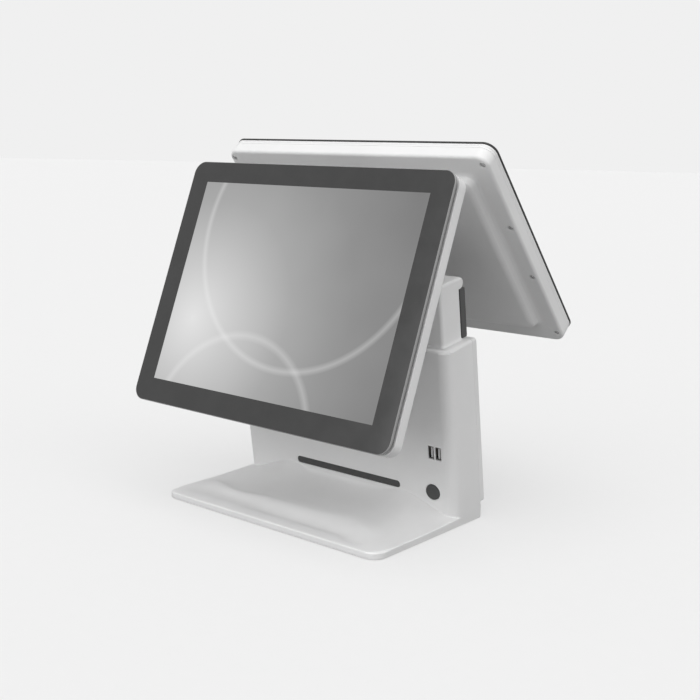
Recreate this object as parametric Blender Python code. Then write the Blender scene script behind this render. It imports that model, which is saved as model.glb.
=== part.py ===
"""Point-of-sale touchscreen terminal with an operator display and a customer display.

A wide forward-leaning column stands on a flat base and holds the computer. A neck on the column
carries two tilting displays back to back. Units are metres and degrees, +Z is up, the operator
looks along +Y, and the origin is the centre of the footprint at desk level.
"""

import math

import bmesh
import bpy
from mathutils import Matrix, Vector

# ---------------------------------------------------------------- driving dimensions
GAP = 0.0003  # clearance between neighbouring pieces
WALL = 0.003  # wall of the stand's mouldings

BASE_WIDTH = 0.300
BASE_DEPTH = 0.1886
BASE_CORNER = 0.015
RIM_BOTTOM = 0.0008  # underside of the base moulding above the desk
LIP_TOP = 0.0078  # top of the base along its front and side edges
RIDGE_RISE = 0.0045  # how far the middle of the base stands above its lip
SWEEP_RISE = 0.0165  # further rise where the base sweeps up into the column
HEEL_TOP = 0.0165
FOOT_RADIUS = 0.010
FOOT_HEIGHT = 0.0017

COLUMN_LEAN = 9.7
COLUMN_FOOT_Y = 0.0720  # column axis where it crosses COLUMN_FOOT_Z
COLUMN_FOOT_Z = 0.0100
COLUMN_HALF_DEPTH = 0.0285
COLUMN_TOP = 0.190  # along the leaning axis, as every height in the column's frame
COLUMN_CORNER = 0.012
SIDE_STEP = 0.0001  # the column's sides stand this far inside the base's
COVER_SPLIT = 0.020  # depth where the rear cover takes over from the front moulding
COVER_BOTTOM = 0.004

NECK_HALF_WIDTH = 0.140
NECK_FRONT = -0.0185
NECK_BACK = 0.0170
NECK_TOP = 0.256
NECK_ROLL_RADIUS = 0.0058  # rounded roll along the neck's top rear edge
PANEL_BACK = 0.0285

GLASS_WIDTH = 0.3546
GLASS_HEIGHT = 0.2781
GLASS_CORNER = 0.014
GLASS_CHAMFER = 0.0008
GLASS_THICKNESS = 0.003
FRAME_BACK = 0.008
FLANGE_BACK = 0.0224
FIELD_BACK = 0.033  # back of the raised field in the middle of a housing
FIELD_HALF_WIDTH = 0.156
FIELD_HALF_HEIGHT = 0.115
FIELD_SLOPE = 0.011
HOUSING_INSET = 0.0005
HOUSING_WALL = 0.0026
LCD_SIZE = (0.326, 0.0092, 0.252)
SCREW_X = 0.170
SCREW_HEIGHTS = (0.1280, 0.0410, -0.0330, -0.1245)

# glass centre (y, z) seen from the base's centre at desk level, and tilt from upright
FRONT_GLASS = (-0.0697, 0.2455)
FRONT_TILT = 20.7
REAR_GLASS = (0.1357, 0.3008)
REAR_TILT = 42.7
# hinge axis seen from the glass centre in a display's own frame: (depth, height)
FRONT_HINGE = (0.062, 0.0)
REAR_HINGE = (0.065, -0.0125)

SHAFT_RADIUS = 0.004
BORE_RADIUS = SHAFT_RADIUS + GAP
BARREL_RADIUS = 0.009
BARREL_HALF_LENGTH = 0.0495
EAR_INNER = 0.050
EAR_OUTER = 0.054
SPINE_HALF_WIDTH = 0.060
SPINE_THICKNESS = 0.003

BUTTON_X = 0.1226
BUTTON_HEIGHT = 0.0302
BUTTON_RADIUS = 0.0086
BUTTON_TRAVEL = 0.0015
USB_X = (0.1236, 0.1326)
USB_HEIGHT = 0.076
USB_HALF_WIDTH = 0.0035
USB_HALF_HEIGHT = 0.00725
STRIP_X = 0.005
STRIP_HEIGHT = 0.0293
STRIP_SIZE = (0.148, 0.001, 0.0078)
IO_WINDOW = (0.196, 0.036)
IO_HEIGHT = 0.032
IO_PANEL_BACK = 0.015

HALF_WIDTH = BASE_WIDTH / 2
HALF_DEPTH = BASE_DEPTH / 2
ROUND_STEPS = 5


# ---------------------------------------------------------------- scene and materials
def clear_scene():
    for item in list(bpy.data.objects):
        bpy.data.objects.remove(item, do_unlink=True)


def new_collection(name):
    collection = bpy.data.collections.new(name)
    bpy.context.scene.collection.children.link(collection)
    return collection


def new_material(name, colour, roughness, metallic=0.0):
    material = bpy.data.materials.new(name)
    material.use_nodes = True
    shader = material.node_tree.nodes["Principled BSDF"]
    shader.inputs["Base Color"].default_value = (*colour, 1.0)
    shader.inputs["Roughness"].default_value = roughness
    shader.inputs["Metallic"].default_value = metallic
    material.diffuse_color = (*colour, 1.0)
    return material


clear_scene()
PARTS = new_collection("pos_touchscreen_terminal")
CUTTERS = new_collection("cutters")

SHELL_WHITE = new_material("shell_white", (0.78, 0.78, 0.77), 0.45)
COVER_GLASS = new_material("cover_glass", (0.03, 0.03, 0.03), 0.08)
FRAME_DARK = new_material("frame_dark", (0.04, 0.04, 0.04), 0.40)
DARK_PLASTIC = new_material("dark_plastic", (0.07, 0.07, 0.07), 0.50)
SHEET_STEEL = new_material("sheet_steel", (0.60, 0.60, 0.60), 0.35, 1.0)
HINGE_STEEL = new_material("hinge_steel", (0.12, 0.12, 0.12), 0.45, 0.6)
BRIGHT_STEEL = new_material("bright_steel", (0.75, 0.75, 0.75), 0.25, 1.0)
RUBBER = new_material("foot_rubber", (0.03, 0.03, 0.03), 0.85)
CIRCUIT_BOARD = new_material("circuit_board", (0.03, 0.16, 0.07), 0.50)
ALUMINIUM = new_material("heatsink_aluminium", (0.70, 0.70, 0.71), 0.35, 1.0)
LCD_GREY = new_material("lcd_grey", (0.35, 0.35, 0.36), 0.30)


# ---------------------------------------------------------------- shape tools
def edges_along(bm, verts, axis):
    """Edges of these vertices that run along one axis, in the mesh's own order."""
    chosen = set(verts)
    found = []
    for edge in bm.edges:
        if edge.verts[0] not in chosen or edge.verts[1] not in chosen:
            continue
        step = edge.verts[1].co - edge.verts[0].co
        if abs(step["XYZ".index(axis)]) > 0.99 * step.length:
            found.append(edge)
    return found


def add_block(bm, low, high, radius=0.0, axis="Z", segments=ROUND_STEPS):
    """Box between two corners, with its edges along one axis rounded if a radius is given."""
    low = Vector(low)
    high = Vector(high)
    verts = bmesh.ops.create_cube(bm, size=1.0)["verts"]
    bmesh.ops.scale(bm, vec=high - low, verts=verts)
    bmesh.ops.translate(bm, vec=(low + high) / 2, verts=verts)
    if radius > 0:
        edges = edges_along(bm, verts, axis)
        bmesh.ops.bevel(bm, geom=edges, offset=radius, segments=segments, profile=0.5, affect="EDGES")


def add_cylinder(bm, radius, low, high, axis, centre, segments=16):
    """Cylinder from low to high along an axis; centre is its place on the other two axes."""
    turns = {"X": Matrix.Rotation(math.pi / 2, 4, "Y"), "Y": Matrix.Rotation(-math.pi / 2, 4, "X")}
    middle = list(centre)
    middle.insert("XYZ".index(axis), (low + high) / 2)
    place = Matrix.Translation(middle) @ turns.get(axis, Matrix.Identity(4))
    bmesh.ops.create_cone(bm, cap_ends=True, segments=segments, radius1=radius, radius2=radius,
                          depth=high - low, matrix=place)


def rounded_rectangle(half_width, half_height, radius, centre_height=0.0):
    """Points (x, z) round a rectangle with arc corners, anticlockwise from the lower right."""
    points = []
    for quarter, (side, level) in enumerate(((1, -1), (1, 1), (-1, 1), (-1, -1))):
        for step in range(ROUND_STEPS + 1):
            angle = math.radians(90 * (quarter - 1 + step / ROUND_STEPS))
            x = side * (half_width - radius) + radius * math.cos(angle)
            z = level * (half_height - radius) + radius * math.sin(angle)
            points.append((x, z + centre_height))
    return points


def add_loft(bm, sections):
    """Closed body through rounded rectangles.

    Each section is (half width, half height, radius, depth, centre height).
    """
    loops = []
    for half_width, half_height, radius, depth, centre_height in sections:
        outline = rounded_rectangle(half_width, half_height, radius, centre_height)
        loops.append([bm.verts.new((x, depth, z)) for x, z in outline])
    for loop, following in zip(loops, loops[1:]):
        for i in range(len(loop)):
            j = (i + 1) % len(loop)
            bm.faces.new((loop[i], loop[j], following[j], following[i]))
    bm.faces.new(loops[0])
    bm.faces.new(loops[-1])


def arc(centre, radius, start, end, steps):
    """Points (depth, height) along an arc, with angles in degrees."""
    points = []
    for step in range(steps + 1):
        angle = math.radians(start + (end - start) * step / steps)
        points.append((centre[0] + radius * math.cos(angle), centre[1] + radius * math.sin(angle)))
    return points


def add_side_outline(bm, outline, half_width):
    """A flat outline in depth and height, extruded both ways along X."""
    curve = bpy.data.curves.new("outline", "CURVE")
    curve.dimensions = "2D"
    curve.fill_mode = "BOTH"
    curve.extrude = half_width
    spline = curve.splines.new("POLY")
    spline.points.add(len(outline) - 1)
    for point, (depth, height) in zip(spline.points, outline):
        point.co = (depth, height, 0.0, 1.0)
    spline.use_cyclic_u = True
    guide = bpy.data.objects.new("outline", curve)
    CUTTERS.objects.link(guide)
    bpy.context.view_layer.update()
    mesh = bpy.data.meshes.new_from_object(guide.evaluated_get(bpy.context.evaluated_depsgraph_get()))
    before = set(bm.verts)
    bm.from_mesh(mesh)
    added = [vert for vert in bm.verts if vert not in before]
    bmesh.ops.remove_doubles(bm, verts=added, dist=0.00001)
    added = [vert for vert in bm.verts if vert not in before]
    stand_up = Matrix(((0, 0, 1, 0), (1, 0, 0, 0), (0, 1, 0, 0), (0, 0, 0, 1)))
    bmesh.ops.transform(bm, matrix=stand_up, verts=added)
    bpy.data.objects.remove(guide)
    bpy.data.curves.remove(curve)
    bpy.data.meshes.remove(mesh)


def finished_mesh(name, bm):
    bmesh.ops.recalc_face_normals(bm, faces=bm.faces)
    mesh = bpy.data.meshes.new(name)
    bm.to_mesh(mesh)
    bm.free()
    mesh.shade_smooth()
    mesh.set_sharp_from_angle(angle=math.radians(35))
    return mesh


def new_part(name, bm, material, parent, location=(0, 0, 0)):
    """One sub-part, made from a finished bmesh."""
    part = bpy.data.objects.new(name, finished_mesh(name, bm))
    part.data.materials.append(material)
    PARTS.objects.link(part)
    part.parent = parent
    part.location = location
    return part


def combine(part, operation, name, bm, parent=None, location=(0, 0, 0)):
    """Adds or cuts a helper body to or from a part with a Boolean modifier."""
    helper = bpy.data.objects.new(name, finished_mesh(name, bm))
    CUTTERS.objects.link(helper)
    helper.parent = parent or part.parent
    helper.location = location
    helper.hide_render = True
    helper.display_type = "WIRE"
    modifier = part.modifiers.new(name, "BOOLEAN")
    modifier.operation = operation
    modifier.solver = "EXACT"
    modifier.object = helper


def new_empty(name, location, rotation, parent=None):
    empty = bpy.data.objects.new(name, None)
    empty.location = location
    empty.rotation_euler = [math.radians(angle) for angle in rotation]
    empty.parent = parent
    PARTS.objects.link(empty)
    return empty


# ---------------------------------------------------------------- placement
def hinge_position(glass, tilt, hinge, facing):
    """World-side (y, z) of a display's hinge axis; facing is -1 towards the operator, +1 away."""
    depth, height = hinge
    angle = math.radians(tilt)
    y = glass[0] - facing * (depth * math.cos(angle) + height * math.sin(angle))
    z = glass[1] + height * math.cos(angle) - depth * math.sin(angle)
    return y, z


def in_column_frame(y, z):
    """(depth, height) of a point in the column's leaning frame."""
    lean = math.radians(COLUMN_LEAN)
    across = y - COLUMN_FOOT_Y
    above = z - COLUMN_FOOT_Z
    depth = across * math.cos(lean) + above * math.sin(lean)
    height = above * math.cos(lean) - across * math.sin(lean)
    return depth, height


FRONT_AXIS = hinge_position(FRONT_GLASS, FRONT_TILT, FRONT_HINGE, -1)
REAR_AXIS = hinge_position(REAR_GLASS, REAR_TILT, REAR_HINGE, 1)
GLASS_REACH = GLASS_HEIGHT / 2 - GLASS_CHAMFER
FOREMOST = FRONT_GLASS[0] - GLASS_REACH * math.sin(math.radians(FRONT_TILT))
REARMOST = REAR_GLASS[0] + GLASS_REACH * math.sin(math.radians(REAR_TILT))
CENTRE_SHIFT = -(FOREMOST + REARMOST) / 2

TERMINAL = new_empty("terminal_frame", (0, CENTRE_SHIFT, 0), (0, 0, 0))
COLUMN = new_empty("column_frame", (0, COLUMN_FOOT_Y, COLUMN_FOOT_Z), (COLUMN_LEAN, 0, 0), TERMINAL)
FRONT = new_empty("front_display_tilt", (0, *FRONT_AXIS), (-FRONT_TILT, 0, 0), TERMINAL)
REAR = new_empty("rear_display_tilt", (0, *REAR_AXIS), (-REAR_TILT, 0, 180), TERMINAL)


# ---------------------------------------------------------------- base and column
def smooth_step(value, start, end):
    share = min(1.0, max(0.0, (value - start) / (end - start)))
    return share * share * (3 - 2 * share)


def base_height(x, y):
    """Top of the base: a flat lip, a low ridge and a sweep that climbs into the column."""
    across = abs(x)
    bend = 0.012 * smooth_step(across, 0.090, 0.125)
    ridge = smooth_step(y + bend, -0.089, -0.053) * (1 - smooth_step(across, 0.088, 0.135))
    climb = max(0.0, (y + 0.020) / 0.0615)
    sweep = min(1.2, climb**2.6) * (1 - smooth_step(across, 0.075, 0.155))
    return LIP_TOP + RIDGE_RISE * ridge + SWEEP_RISE * sweep


def add_base_block(bm, inset, drop, bottom, back):
    """Solid under the base's top, drawn in by inset at the edges and lowered by drop."""
    columns = 24
    corner_rows = [1 - math.cos(math.radians(angle)) for angle in (0, 30, 60, 90)]
    radius = BASE_CORNER - inset
    front = -HALF_DEPTH + inset
    rows = [front + radius * share for share in corner_rows]
    rows += [-0.073, -0.066, -0.059, -0.052, -0.036, -0.020, 0.0, 0.012, 0.022, 0.030, 0.036, 0.042, back]
    made = bmesh.ops.create_grid(bm, x_segments=columns, y_segments=len(rows) - 1, size=0.5)["verts"]
    for vert in made:
        row = round((vert.co.y + 0.5) * (len(rows) - 1))
        y = rows[row]
        short = max(0.0, radius - (y - front))
        half = HALF_WIDTH - inset - (radius - math.sqrt(radius**2 - short**2))
        x = 2 * vert.co.x * half
        vert.co = (x, y, base_height(x, y) - drop)
    grown = bmesh.ops.extrude_face_region(bm, geom=[f for f in bm.faces if f.verts[0] in set(made)])
    for item in grown["geom"]:
        if isinstance(item, bmesh.types.BMVert):
            item.co.z = bottom


def stand_shell():
    """Base and column front, one white moulding that is open underneath and behind."""
    bm = bmesh.new()
    half_width = HALF_WIDTH - SIDE_STEP
    add_block(bm, (-half_width, -COLUMN_HALF_DEPTH, -0.002), (half_width, COLUMN_HALF_DEPTH, COLUMN_TOP),
              COLUMN_CORNER)
    shell = new_part("stand_shell", bm, SHELL_WHITE, COLUMN)
    bm = bmesh.new()
    add_block(bm, (-0.160, COVER_SPLIT, -0.020), (0.160, 0.045, 0.200))
    combine(shell, "DIFFERENCE", "column_back_cut", bm)
    bm = bmesh.new()
    add_base_block(bm, 0.0, 0.0, RIM_BOTTOM, 0.062)
    combine(shell, "UNION", "base_body", bm, TERMINAL)
    bm = bmesh.new()
    add_block(bm, (-HALF_WIDTH, 0.058, RIM_BOTTOM), (HALF_WIDTH, HALF_DEPTH, HEEL_TOP), 0.008)
    combine(shell, "UNION", "heel_body", bm, TERMINAL)
    hollow_stand(shell)
    cut_stand_openings(shell)


def hollow_stand(shell):
    inner = HALF_WIDTH - WALL
    bm = bmesh.new()
    half_width = inner - 2 * SIDE_STEP
    add_block(bm, (-half_width, WALL - COLUMN_HALF_DEPTH, 0.0),
              (half_width, COVER_SPLIT + 0.012, COLUMN_TOP - WALL), COLUMN_CORNER - WALL)
    combine(shell, "DIFFERENCE", "column_hollow", bm)
    bm = bmesh.new()
    add_base_block(bm, WALL, WALL, -0.005, 0.060)
    combine(shell, "DIFFERENCE", "base_hollow", bm, TERMINAL)
    bm = bmesh.new()
    add_block(bm, (-inner, 0.050, -0.006), (inner, HALF_DEPTH - WALL, HEEL_TOP - WALL))
    combine(shell, "DIFFERENCE", "heel_hollow", bm, TERMINAL)


def cut_stand_openings(shell):
    bm = bmesh.new()
    face = -COLUMN_HALF_DEPTH
    for x in USB_X:
        add_block(bm, (x - USB_HALF_WIDTH - GAP, face - 0.005, USB_HEIGHT - USB_HALF_HEIGHT - GAP),
                  (x + USB_HALF_WIDTH + GAP, face + 0.005, USB_HEIGHT + USB_HALF_HEIGHT + GAP))
    add_cylinder(bm, BUTTON_RADIUS + GAP, face - 0.005, face + 0.005, "Y", (BUTTON_X, BUTTON_HEIGHT), 24)
    half = (STRIP_SIZE[0] / 2 + GAP, STRIP_SIZE[2] / 2 + GAP)
    add_block(bm, (STRIP_X - half[0], face - 0.005, STRIP_HEIGHT - half[1]),
              (STRIP_X + half[0], face + 0.0012, STRIP_HEIGHT + half[1]), 0.0035, "Y")
    add_block(bm, (-0.065, -0.012, COLUMN_TOP - 0.008), (0.065, 0.010, COLUMN_TOP + 0.005))
    combine(shell, "DIFFERENCE", "stand_openings", bm)


def column_rear_cover():
    """Shallow cover with vents and a window for the sockets."""
    bottom = COVER_BOTTOM
    middle = (bottom + COLUMN_TOP) / 2
    half_height = (COLUMN_TOP - bottom) / 2
    front = COVER_SPLIT + GAP
    inner_back = COLUMN_HALF_DEPTH - WALL
    round_off = ((0.0, 0.0270), (0.0004, 0.0279), (0.0015, COLUMN_HALF_DEPTH))
    sections = [(HALF_WIDTH - WALL, half_height - WALL, 0.002, inner_back, middle),
                (HALF_WIDTH - WALL, half_height - WALL, 0.002, front, middle)]
    sections.append((HALF_WIDTH, half_height, 0.003, front, middle))
    for inset, depth in round_off:
        sections.append((HALF_WIDTH - inset, half_height - inset, 0.003, depth, middle))
    bm = bmesh.new()
    add_loft(bm, sections)
    cover = new_part("column_rear_cover", bm, SHELL_WHITE, COLUMN)
    bm = bmesh.new()
    add_block(bm, (-IO_WINDOW[0] / 2, 0.015, IO_HEIGHT - IO_WINDOW[1] / 2),
              (IO_WINDOW[0] / 2, 0.040, IO_HEIGHT + IO_WINDOW[1] / 2), 0.004, "Y", 3)
    for side in (-1, 1):
        for slot in range(8):
            x = side * (0.036 + 0.009 * slot)
            add_block(bm, (x - 0.0015, 0.015, 0.112), (x + 0.0015, 0.040, 0.154))
    combine(cover, "DIFFERENCE", "cover_openings", bm)


def ballast_plate():
    """Steel floor of the stand, which keeps the tall terminal from tipping."""
    bm = bmesh.new()
    add_block(bm, (-0.145, -0.089, 0.0020), (0.145, 0.089, 0.0047), 0.011)
    new_part("ballast_plate", bm, SHEET_STEEL, TERMINAL)


def feet():
    for end, y in (("front", -0.072), ("rear", 0.072)):
        for side, x in (("left", -0.128), ("right", 0.128)):
            bm = bmesh.new()
            add_cylinder(bm, FOOT_RADIUS, 0.0, FOOT_HEIGHT, "Z", (0, 0), 20)
            new_part(f"foot_{end}_{side}", bm, RUBBER, TERMINAL, (x, y, 0))


def label_strip():
    face = -COLUMN_HALF_DEPTH
    bm = bmesh.new()
    half = (STRIP_SIZE[0] / 2, STRIP_SIZE[2] / 2)
    add_block(bm, (STRIP_X - half[0], face - 0.0001, STRIP_HEIGHT - half[1]),
              (STRIP_X + half[0], face + 0.0009, STRIP_HEIGHT + half[1]), 0.0035, "Y")
    new_part("label_strip", bm, DARK_PLASTIC, COLUMN)


def power_button():
    """Round push button with a flange that stops it against the inside of the wall."""
    face = -COLUMN_HALF_DEPTH
    location = (BUTTON_X, face, BUTTON_HEIGHT)
    bm = bmesh.new()
    add_cylinder(bm, BUTTON_RADIUS, -0.0008, 0.0085, "Y", (0, 0), 24)
    button = new_part("power_button", bm, DARK_PLASTIC, COLUMN, location)
    bm = bmesh.new()
    flange = WALL + GAP
    add_cylinder(bm, BUTTON_RADIUS + 0.0018, flange, flange + 0.0015, "Y", (0, 0), 24)
    combine(button, "UNION", "button_flange", bm, COLUMN, location)


def power_switch():
    """Tactile switch on its small board, just behind the button's travel."""
    button_end = 0.0085 - COLUMN_HALF_DEPTH + BUTTON_TRAVEL
    bm = bmesh.new()
    add_block(bm, (BUTTON_X - 0.012, -0.0120, BUTTON_HEIGHT - 0.014),
              (BUTTON_X + 0.012, -0.0104, BUTTON_HEIGHT + 0.014))
    switch = new_part("power_switch", bm, CIRCUIT_BOARD, COLUMN)
    bm = bmesh.new()
    add_block(bm, (BUTTON_X - 0.004, button_end + GAP, BUTTON_HEIGHT - 0.004),
              (BUTTON_X + 0.004, -0.0115, BUTTON_HEIGHT + 0.004))
    combine(switch, "UNION", "switch_body", bm)


def front_usb_ports():
    """Two upright sockets side by side in the column's front."""
    face = -COLUMN_HALF_DEPTH
    for number, x in enumerate(USB_X, start=1):
        bm = bmesh.new()
        add_block(bm, (x - USB_HALF_WIDTH, face + GAP, USB_HEIGHT - USB_HALF_HEIGHT),
                  (x + USB_HALF_WIDTH, -0.012, USB_HEIGHT + USB_HALF_HEIGHT))
        port = new_part(f"front_usb_port_{number}", bm, BRIGHT_STEEL, COLUMN)
        bm = bmesh.new()
        for left, right in ((-0.0029, -0.0004), (0.0014, 0.0029)):
            add_block(bm, (x + left, face - 0.002, USB_HEIGHT - 0.0066),
                      (x + right, face + 0.011, USB_HEIGHT + 0.0066))
        combine(port, "DIFFERENCE", f"front_usb_slot_{number}", bm)


# ---------------------------------------------------------------- electronics in the column
def motherboard():
    bm = bmesh.new()
    add_block(bm, (-0.085, -0.0060, 0.014), (0.085, -0.0044, 0.184))
    board = new_part("motherboard", bm, CIRCUIT_BOARD, COLUMN)
    bm = bmesh.new()
    add_block(bm, (-0.080, -0.0130, 0.166), (-0.030, -0.0055, 0.178))
    add_block(bm, (0.066, -0.0160, 0.030), (0.078, -0.0055, 0.120))
    add_block(bm, (-0.078, -0.0110, 0.070), (-0.058, -0.0055, 0.150))
    combine(board, "UNION", "board_parts", bm)


def cpu_heatsink():
    bm = bmesh.new()
    add_block(bm, (-0.045, -0.0095, 0.070), (0.045, -0.0063, 0.160))
    sink = new_part("cpu_heatsink", bm, ALUMINIUM, COLUMN)
    bm = bmesh.new()
    for fin in range(9):
        x = -0.0436 + 0.0109 * fin
        add_block(bm, (x - 0.0009, -0.0215, 0.0705), (x + 0.0009, -0.0090, 0.1595))
    combine(sink, "UNION", "heatsink_fins", bm)


def memory_and_drive():
    bm = bmesh.new()
    add_block(bm, (-0.050, -0.0098, 0.024), (0.018, -0.0063, 0.054))
    new_part("memory_module", bm, CIRCUIT_BOARD, COLUMN)
    bm = bmesh.new()
    add_block(bm, (-0.050, 0.0036, 0.095), (0.050, 0.0106, 0.165), 0.003, "Y", 2)
    new_part("solid_state_drive", bm, ALUMINIUM, COLUMN)


# name, x, width, height and (width, height, depth) of the mouth, all seen from behind
IO_PORTS = (
    ("dc_inlet", -0.084, 0.0100, 0.0110, None),
    ("vga_port", -0.055, 0.0310, 0.0125, (0.0170, 0.0032, 0.004)),
    ("serial_port", -0.014, 0.0310, 0.0125, (0.0175, 0.0034, 0.004)),
    ("lan_port", 0.022, 0.0160, 0.0135, (0.0118, 0.0084, 0.0095)),
    ("rear_usb_port", 0.048, 0.0145, 0.0155, (0.0120, 0.0022, 0.008)),
    ("drawer_port", 0.074, 0.0132, 0.0120, (0.0098, 0.0070, 0.0095)),
)


def io_panel():
    bm = bmesh.new()
    add_block(bm, (-0.105, IO_PANEL_BACK - 0.001, 0.010), (0.105, IO_PANEL_BACK, 0.056), 0.002, "Y", 2)
    panel = new_part("io_panel", bm, SHEET_STEEL, COLUMN)
    bm = bmesh.new()
    for _, x, width, height, _ in IO_PORTS:
        half = (width / 2 + GAP, height / 2 + GAP)
        add_block(bm, (x - half[0], 0.010, IO_HEIGHT - half[1]), (x + half[0], 0.020, IO_HEIGHT + half[1]))
    combine(panel, "DIFFERENCE", "panel_holes", bm)


def io_ports():
    """Sockets that stand in the panel's holes; the power inlet has a round mouth with a pin."""
    back = IO_PANEL_BACK + 0.0006
    for name, x, width, height, mouth in IO_PORTS:
        metal = name != "dc_inlet" and name != "drawer_port"
        bm = bmesh.new()
        add_block(bm, (x - width / 2, 0.0038, IO_HEIGHT - height / 2),
                  (x + width / 2, back, IO_HEIGHT + height / 2))
        port = new_part(name, bm, BRIGHT_STEEL if metal else DARK_PLASTIC, COLUMN)
        bm = bmesh.new()
        if mouth is None:
            add_cylinder(bm, 0.0032, back - 0.0085, back + 0.002, "Y", (x, IO_HEIGHT), 16)
            combine(port, "DIFFERENCE", f"{name}_mouth", bm)
            bm = bmesh.new()
            add_cylinder(bm, 0.0010, back - 0.0095, back - 0.0005, "Y", (x, IO_HEIGHT), 8)
            combine(port, "UNION", f"{name}_pin", bm)
            continue
        levels = (-0.0039, 0.0039) if name == "rear_usb_port" else (0.0,)
        for level in levels:
            centre = IO_HEIGHT + level
            add_block(bm, (x - mouth[0] / 2, back - mouth[2], centre - mouth[1] / 2),
                      (x + mouth[0] / 2, back + 0.002, centre + mouth[1] / 2))
        combine(port, "DIFFERENCE", f"{name}_mouth", bm)


# ---------------------------------------------------------------- spine, neck and hinges
def spine_bracket():
    """Steel upright from the ballast plate to the neck, to which both hinges are bolted."""
    bm = bmesh.new()
    add_block(bm, (-SPINE_HALF_WIDTH, 0, 0.0), (SPINE_HALF_WIDTH, SPINE_THICKNESS, 0.246))
    spine = new_part("spine_bracket", bm, SHEET_STEEL, COLUMN)
    bm = bmesh.new()
    add_block(bm, (-SPINE_HALF_WIDTH, 0.066, 0.0050), (SPINE_HALF_WIDTH, 0.088, 0.0110))
    combine(spine, "UNION", "spine_foot", bm, TERMINAL)


def neck_outline(inset):
    """Side outline of the neck, with the roll along its top rear edge."""
    roll_centre = (NECK_BACK + 0.0026, NECK_TOP - NECK_ROLL_RADIUS)
    roll = arc(roll_centre, NECK_ROLL_RADIUS - inset, 90, -90, 8)
    front_corner = (NECK_FRONT + 0.008, NECK_TOP - 0.008)
    shoulder = arc(front_corner, 0.008 - inset, 180, 90, 4)
    bottom = COLUMN_TOP + GAP - 4 * inset
    foot = [(NECK_BACK - inset, bottom), (NECK_FRONT + inset, bottom)]
    back_top = [(NECK_BACK - inset, roll[-1][1] - 0.0004)]
    return foot + shoulder + roll + back_top


def neck():
    bm = bmesh.new()
    add_side_outline(bm, neck_outline(0.0), NECK_HALF_WIDTH)
    shell = new_part("neck_shell", bm, SHELL_WHITE, COLUMN)
    bm = bmesh.new()
    add_side_outline(bm, neck_outline(WALL), NECK_HALF_WIDTH - WALL)
    combine(shell, "DIFFERENCE", "neck_hollow", bm)
    cut_ear_slots(shell, "neck_ear_slots", -0.035, 0.035)
    bm = bmesh.new()
    low = (-(NECK_HALF_WIDTH - 0.001), NECK_BACK + GAP, COLUMN_TOP + GAP)
    high = (NECK_HALF_WIDTH - 0.001, PANEL_BACK, NECK_TOP - 2 * NECK_ROLL_RADIUS - 0.0006)
    add_block(bm, low, high, 0.0015, "Z", 2)
    panel = new_part("neck_rear_panel", bm, DARK_PLASTIC, COLUMN)
    cut_ear_slots(panel, "panel_ear_slots", 0.010, 0.035)


def cut_ear_slots(part, name, front, back):
    """Slots that the hinge ears pass through, on the sides of the neck that this part has."""
    bm = bmesh.new()
    for axis, low, high in ((FRONT_AXIS, front, min(back, 0.0)), (REAR_AXIS, max(front, 0.0), back)):
        if high <= low:
            continue
        height = in_column_frame(*axis)[1]
        for side in (-1, 1):
            edges = sorted((side * (EAR_INNER - 0.0004), side * (EAR_OUTER + 0.0004)))
            add_block(bm, (edges[0], low, height - 0.0084), (edges[1], high, height + 0.0084))
    combine(part, "DIFFERENCE", name, bm)


def hinge_bracket(name, axis, face, direction):
    """Plate on the spine with two ears that reach out through the neck to the hinge axis."""
    depth, height = in_column_frame(*axis)
    inner = face + direction * GAP
    outer = inner + direction * 0.003
    bm = bmesh.new()
    add_block(bm, (-EAR_OUTER, min(inner, outer), height - 0.016),
              (EAR_OUTER, max(inner, outer), height + 0.012))
    bracket = new_part(name, bm, HINGE_STEEL, COLUMN)
    bm = bmesh.new()
    start = inner + direction * 0.0015
    for side in (-1, 1):
        edges = sorted((side * EAR_INNER, side * (EAR_OUTER - 0.0002)))
        add_block(bm, (edges[0], min(start, depth), height - 0.008),
                  (edges[1], max(start, depth), height + 0.008))
    combine(bracket, "UNION", f"{name}_ears", bm)
    bm = bmesh.new()
    for side in (-1, 1):
        edges = sorted((side * (EAR_INNER + 0.0001), side * (EAR_OUTER - 0.0003)))
        add_cylinder(bm, BARREL_RADIUS, edges[0], edges[1], "X", (depth, height), 24)
    combine(bracket, "UNION", f"{name}_eyes", bm)
    bm = bmesh.new()
    add_cylinder(bm, BORE_RADIUS, -0.060, 0.060, "X", (depth, height), 16)
    combine(bracket, "DIFFERENCE", f"{name}_bores", bm)


def hinge_shaft(name, axis):
    bm = bmesh.new()
    add_cylinder(bm, SHAFT_RADIUS, -0.057, 0.057, "X", (0, 0), 16)
    new_part(name, bm, BRIGHT_STEEL, COLUMN, (0, *in_column_frame(*axis)))


# ---------------------------------------------------------------- displays
def in_hinge_frame(hinge, depth, height):
    """(depth, height) from the glass centre, seen from the display's hinge axis instead."""
    return depth - hinge[0], height - hinge[1]


def screw_places():
    return [(side * SCREW_X, height) for side in (-1, 1) for height in SCREW_HEIGHTS]


def glass_sections(hinge):
    half_width = GLASS_WIDTH / 2
    half_height = GLASS_HEIGHT / 2
    profile = ((GLASS_CHAMFER, 0.0), (0.0, GLASS_CHAMFER), (0.0, GLASS_THICKNESS))
    sections = []
    for inset, back in profile:
        depth, level = in_hinge_frame(hinge, back, 0.0)
        sections.append((half_width - inset, half_height - inset, GLASS_CORNER - inset, depth, level))
    return sections


def display_glass(name, parent, hinge):
    bm = bmesh.new()
    add_loft(bm, glass_sections(hinge))
    new_part(name, bm, COVER_GLASS, parent)


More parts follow.
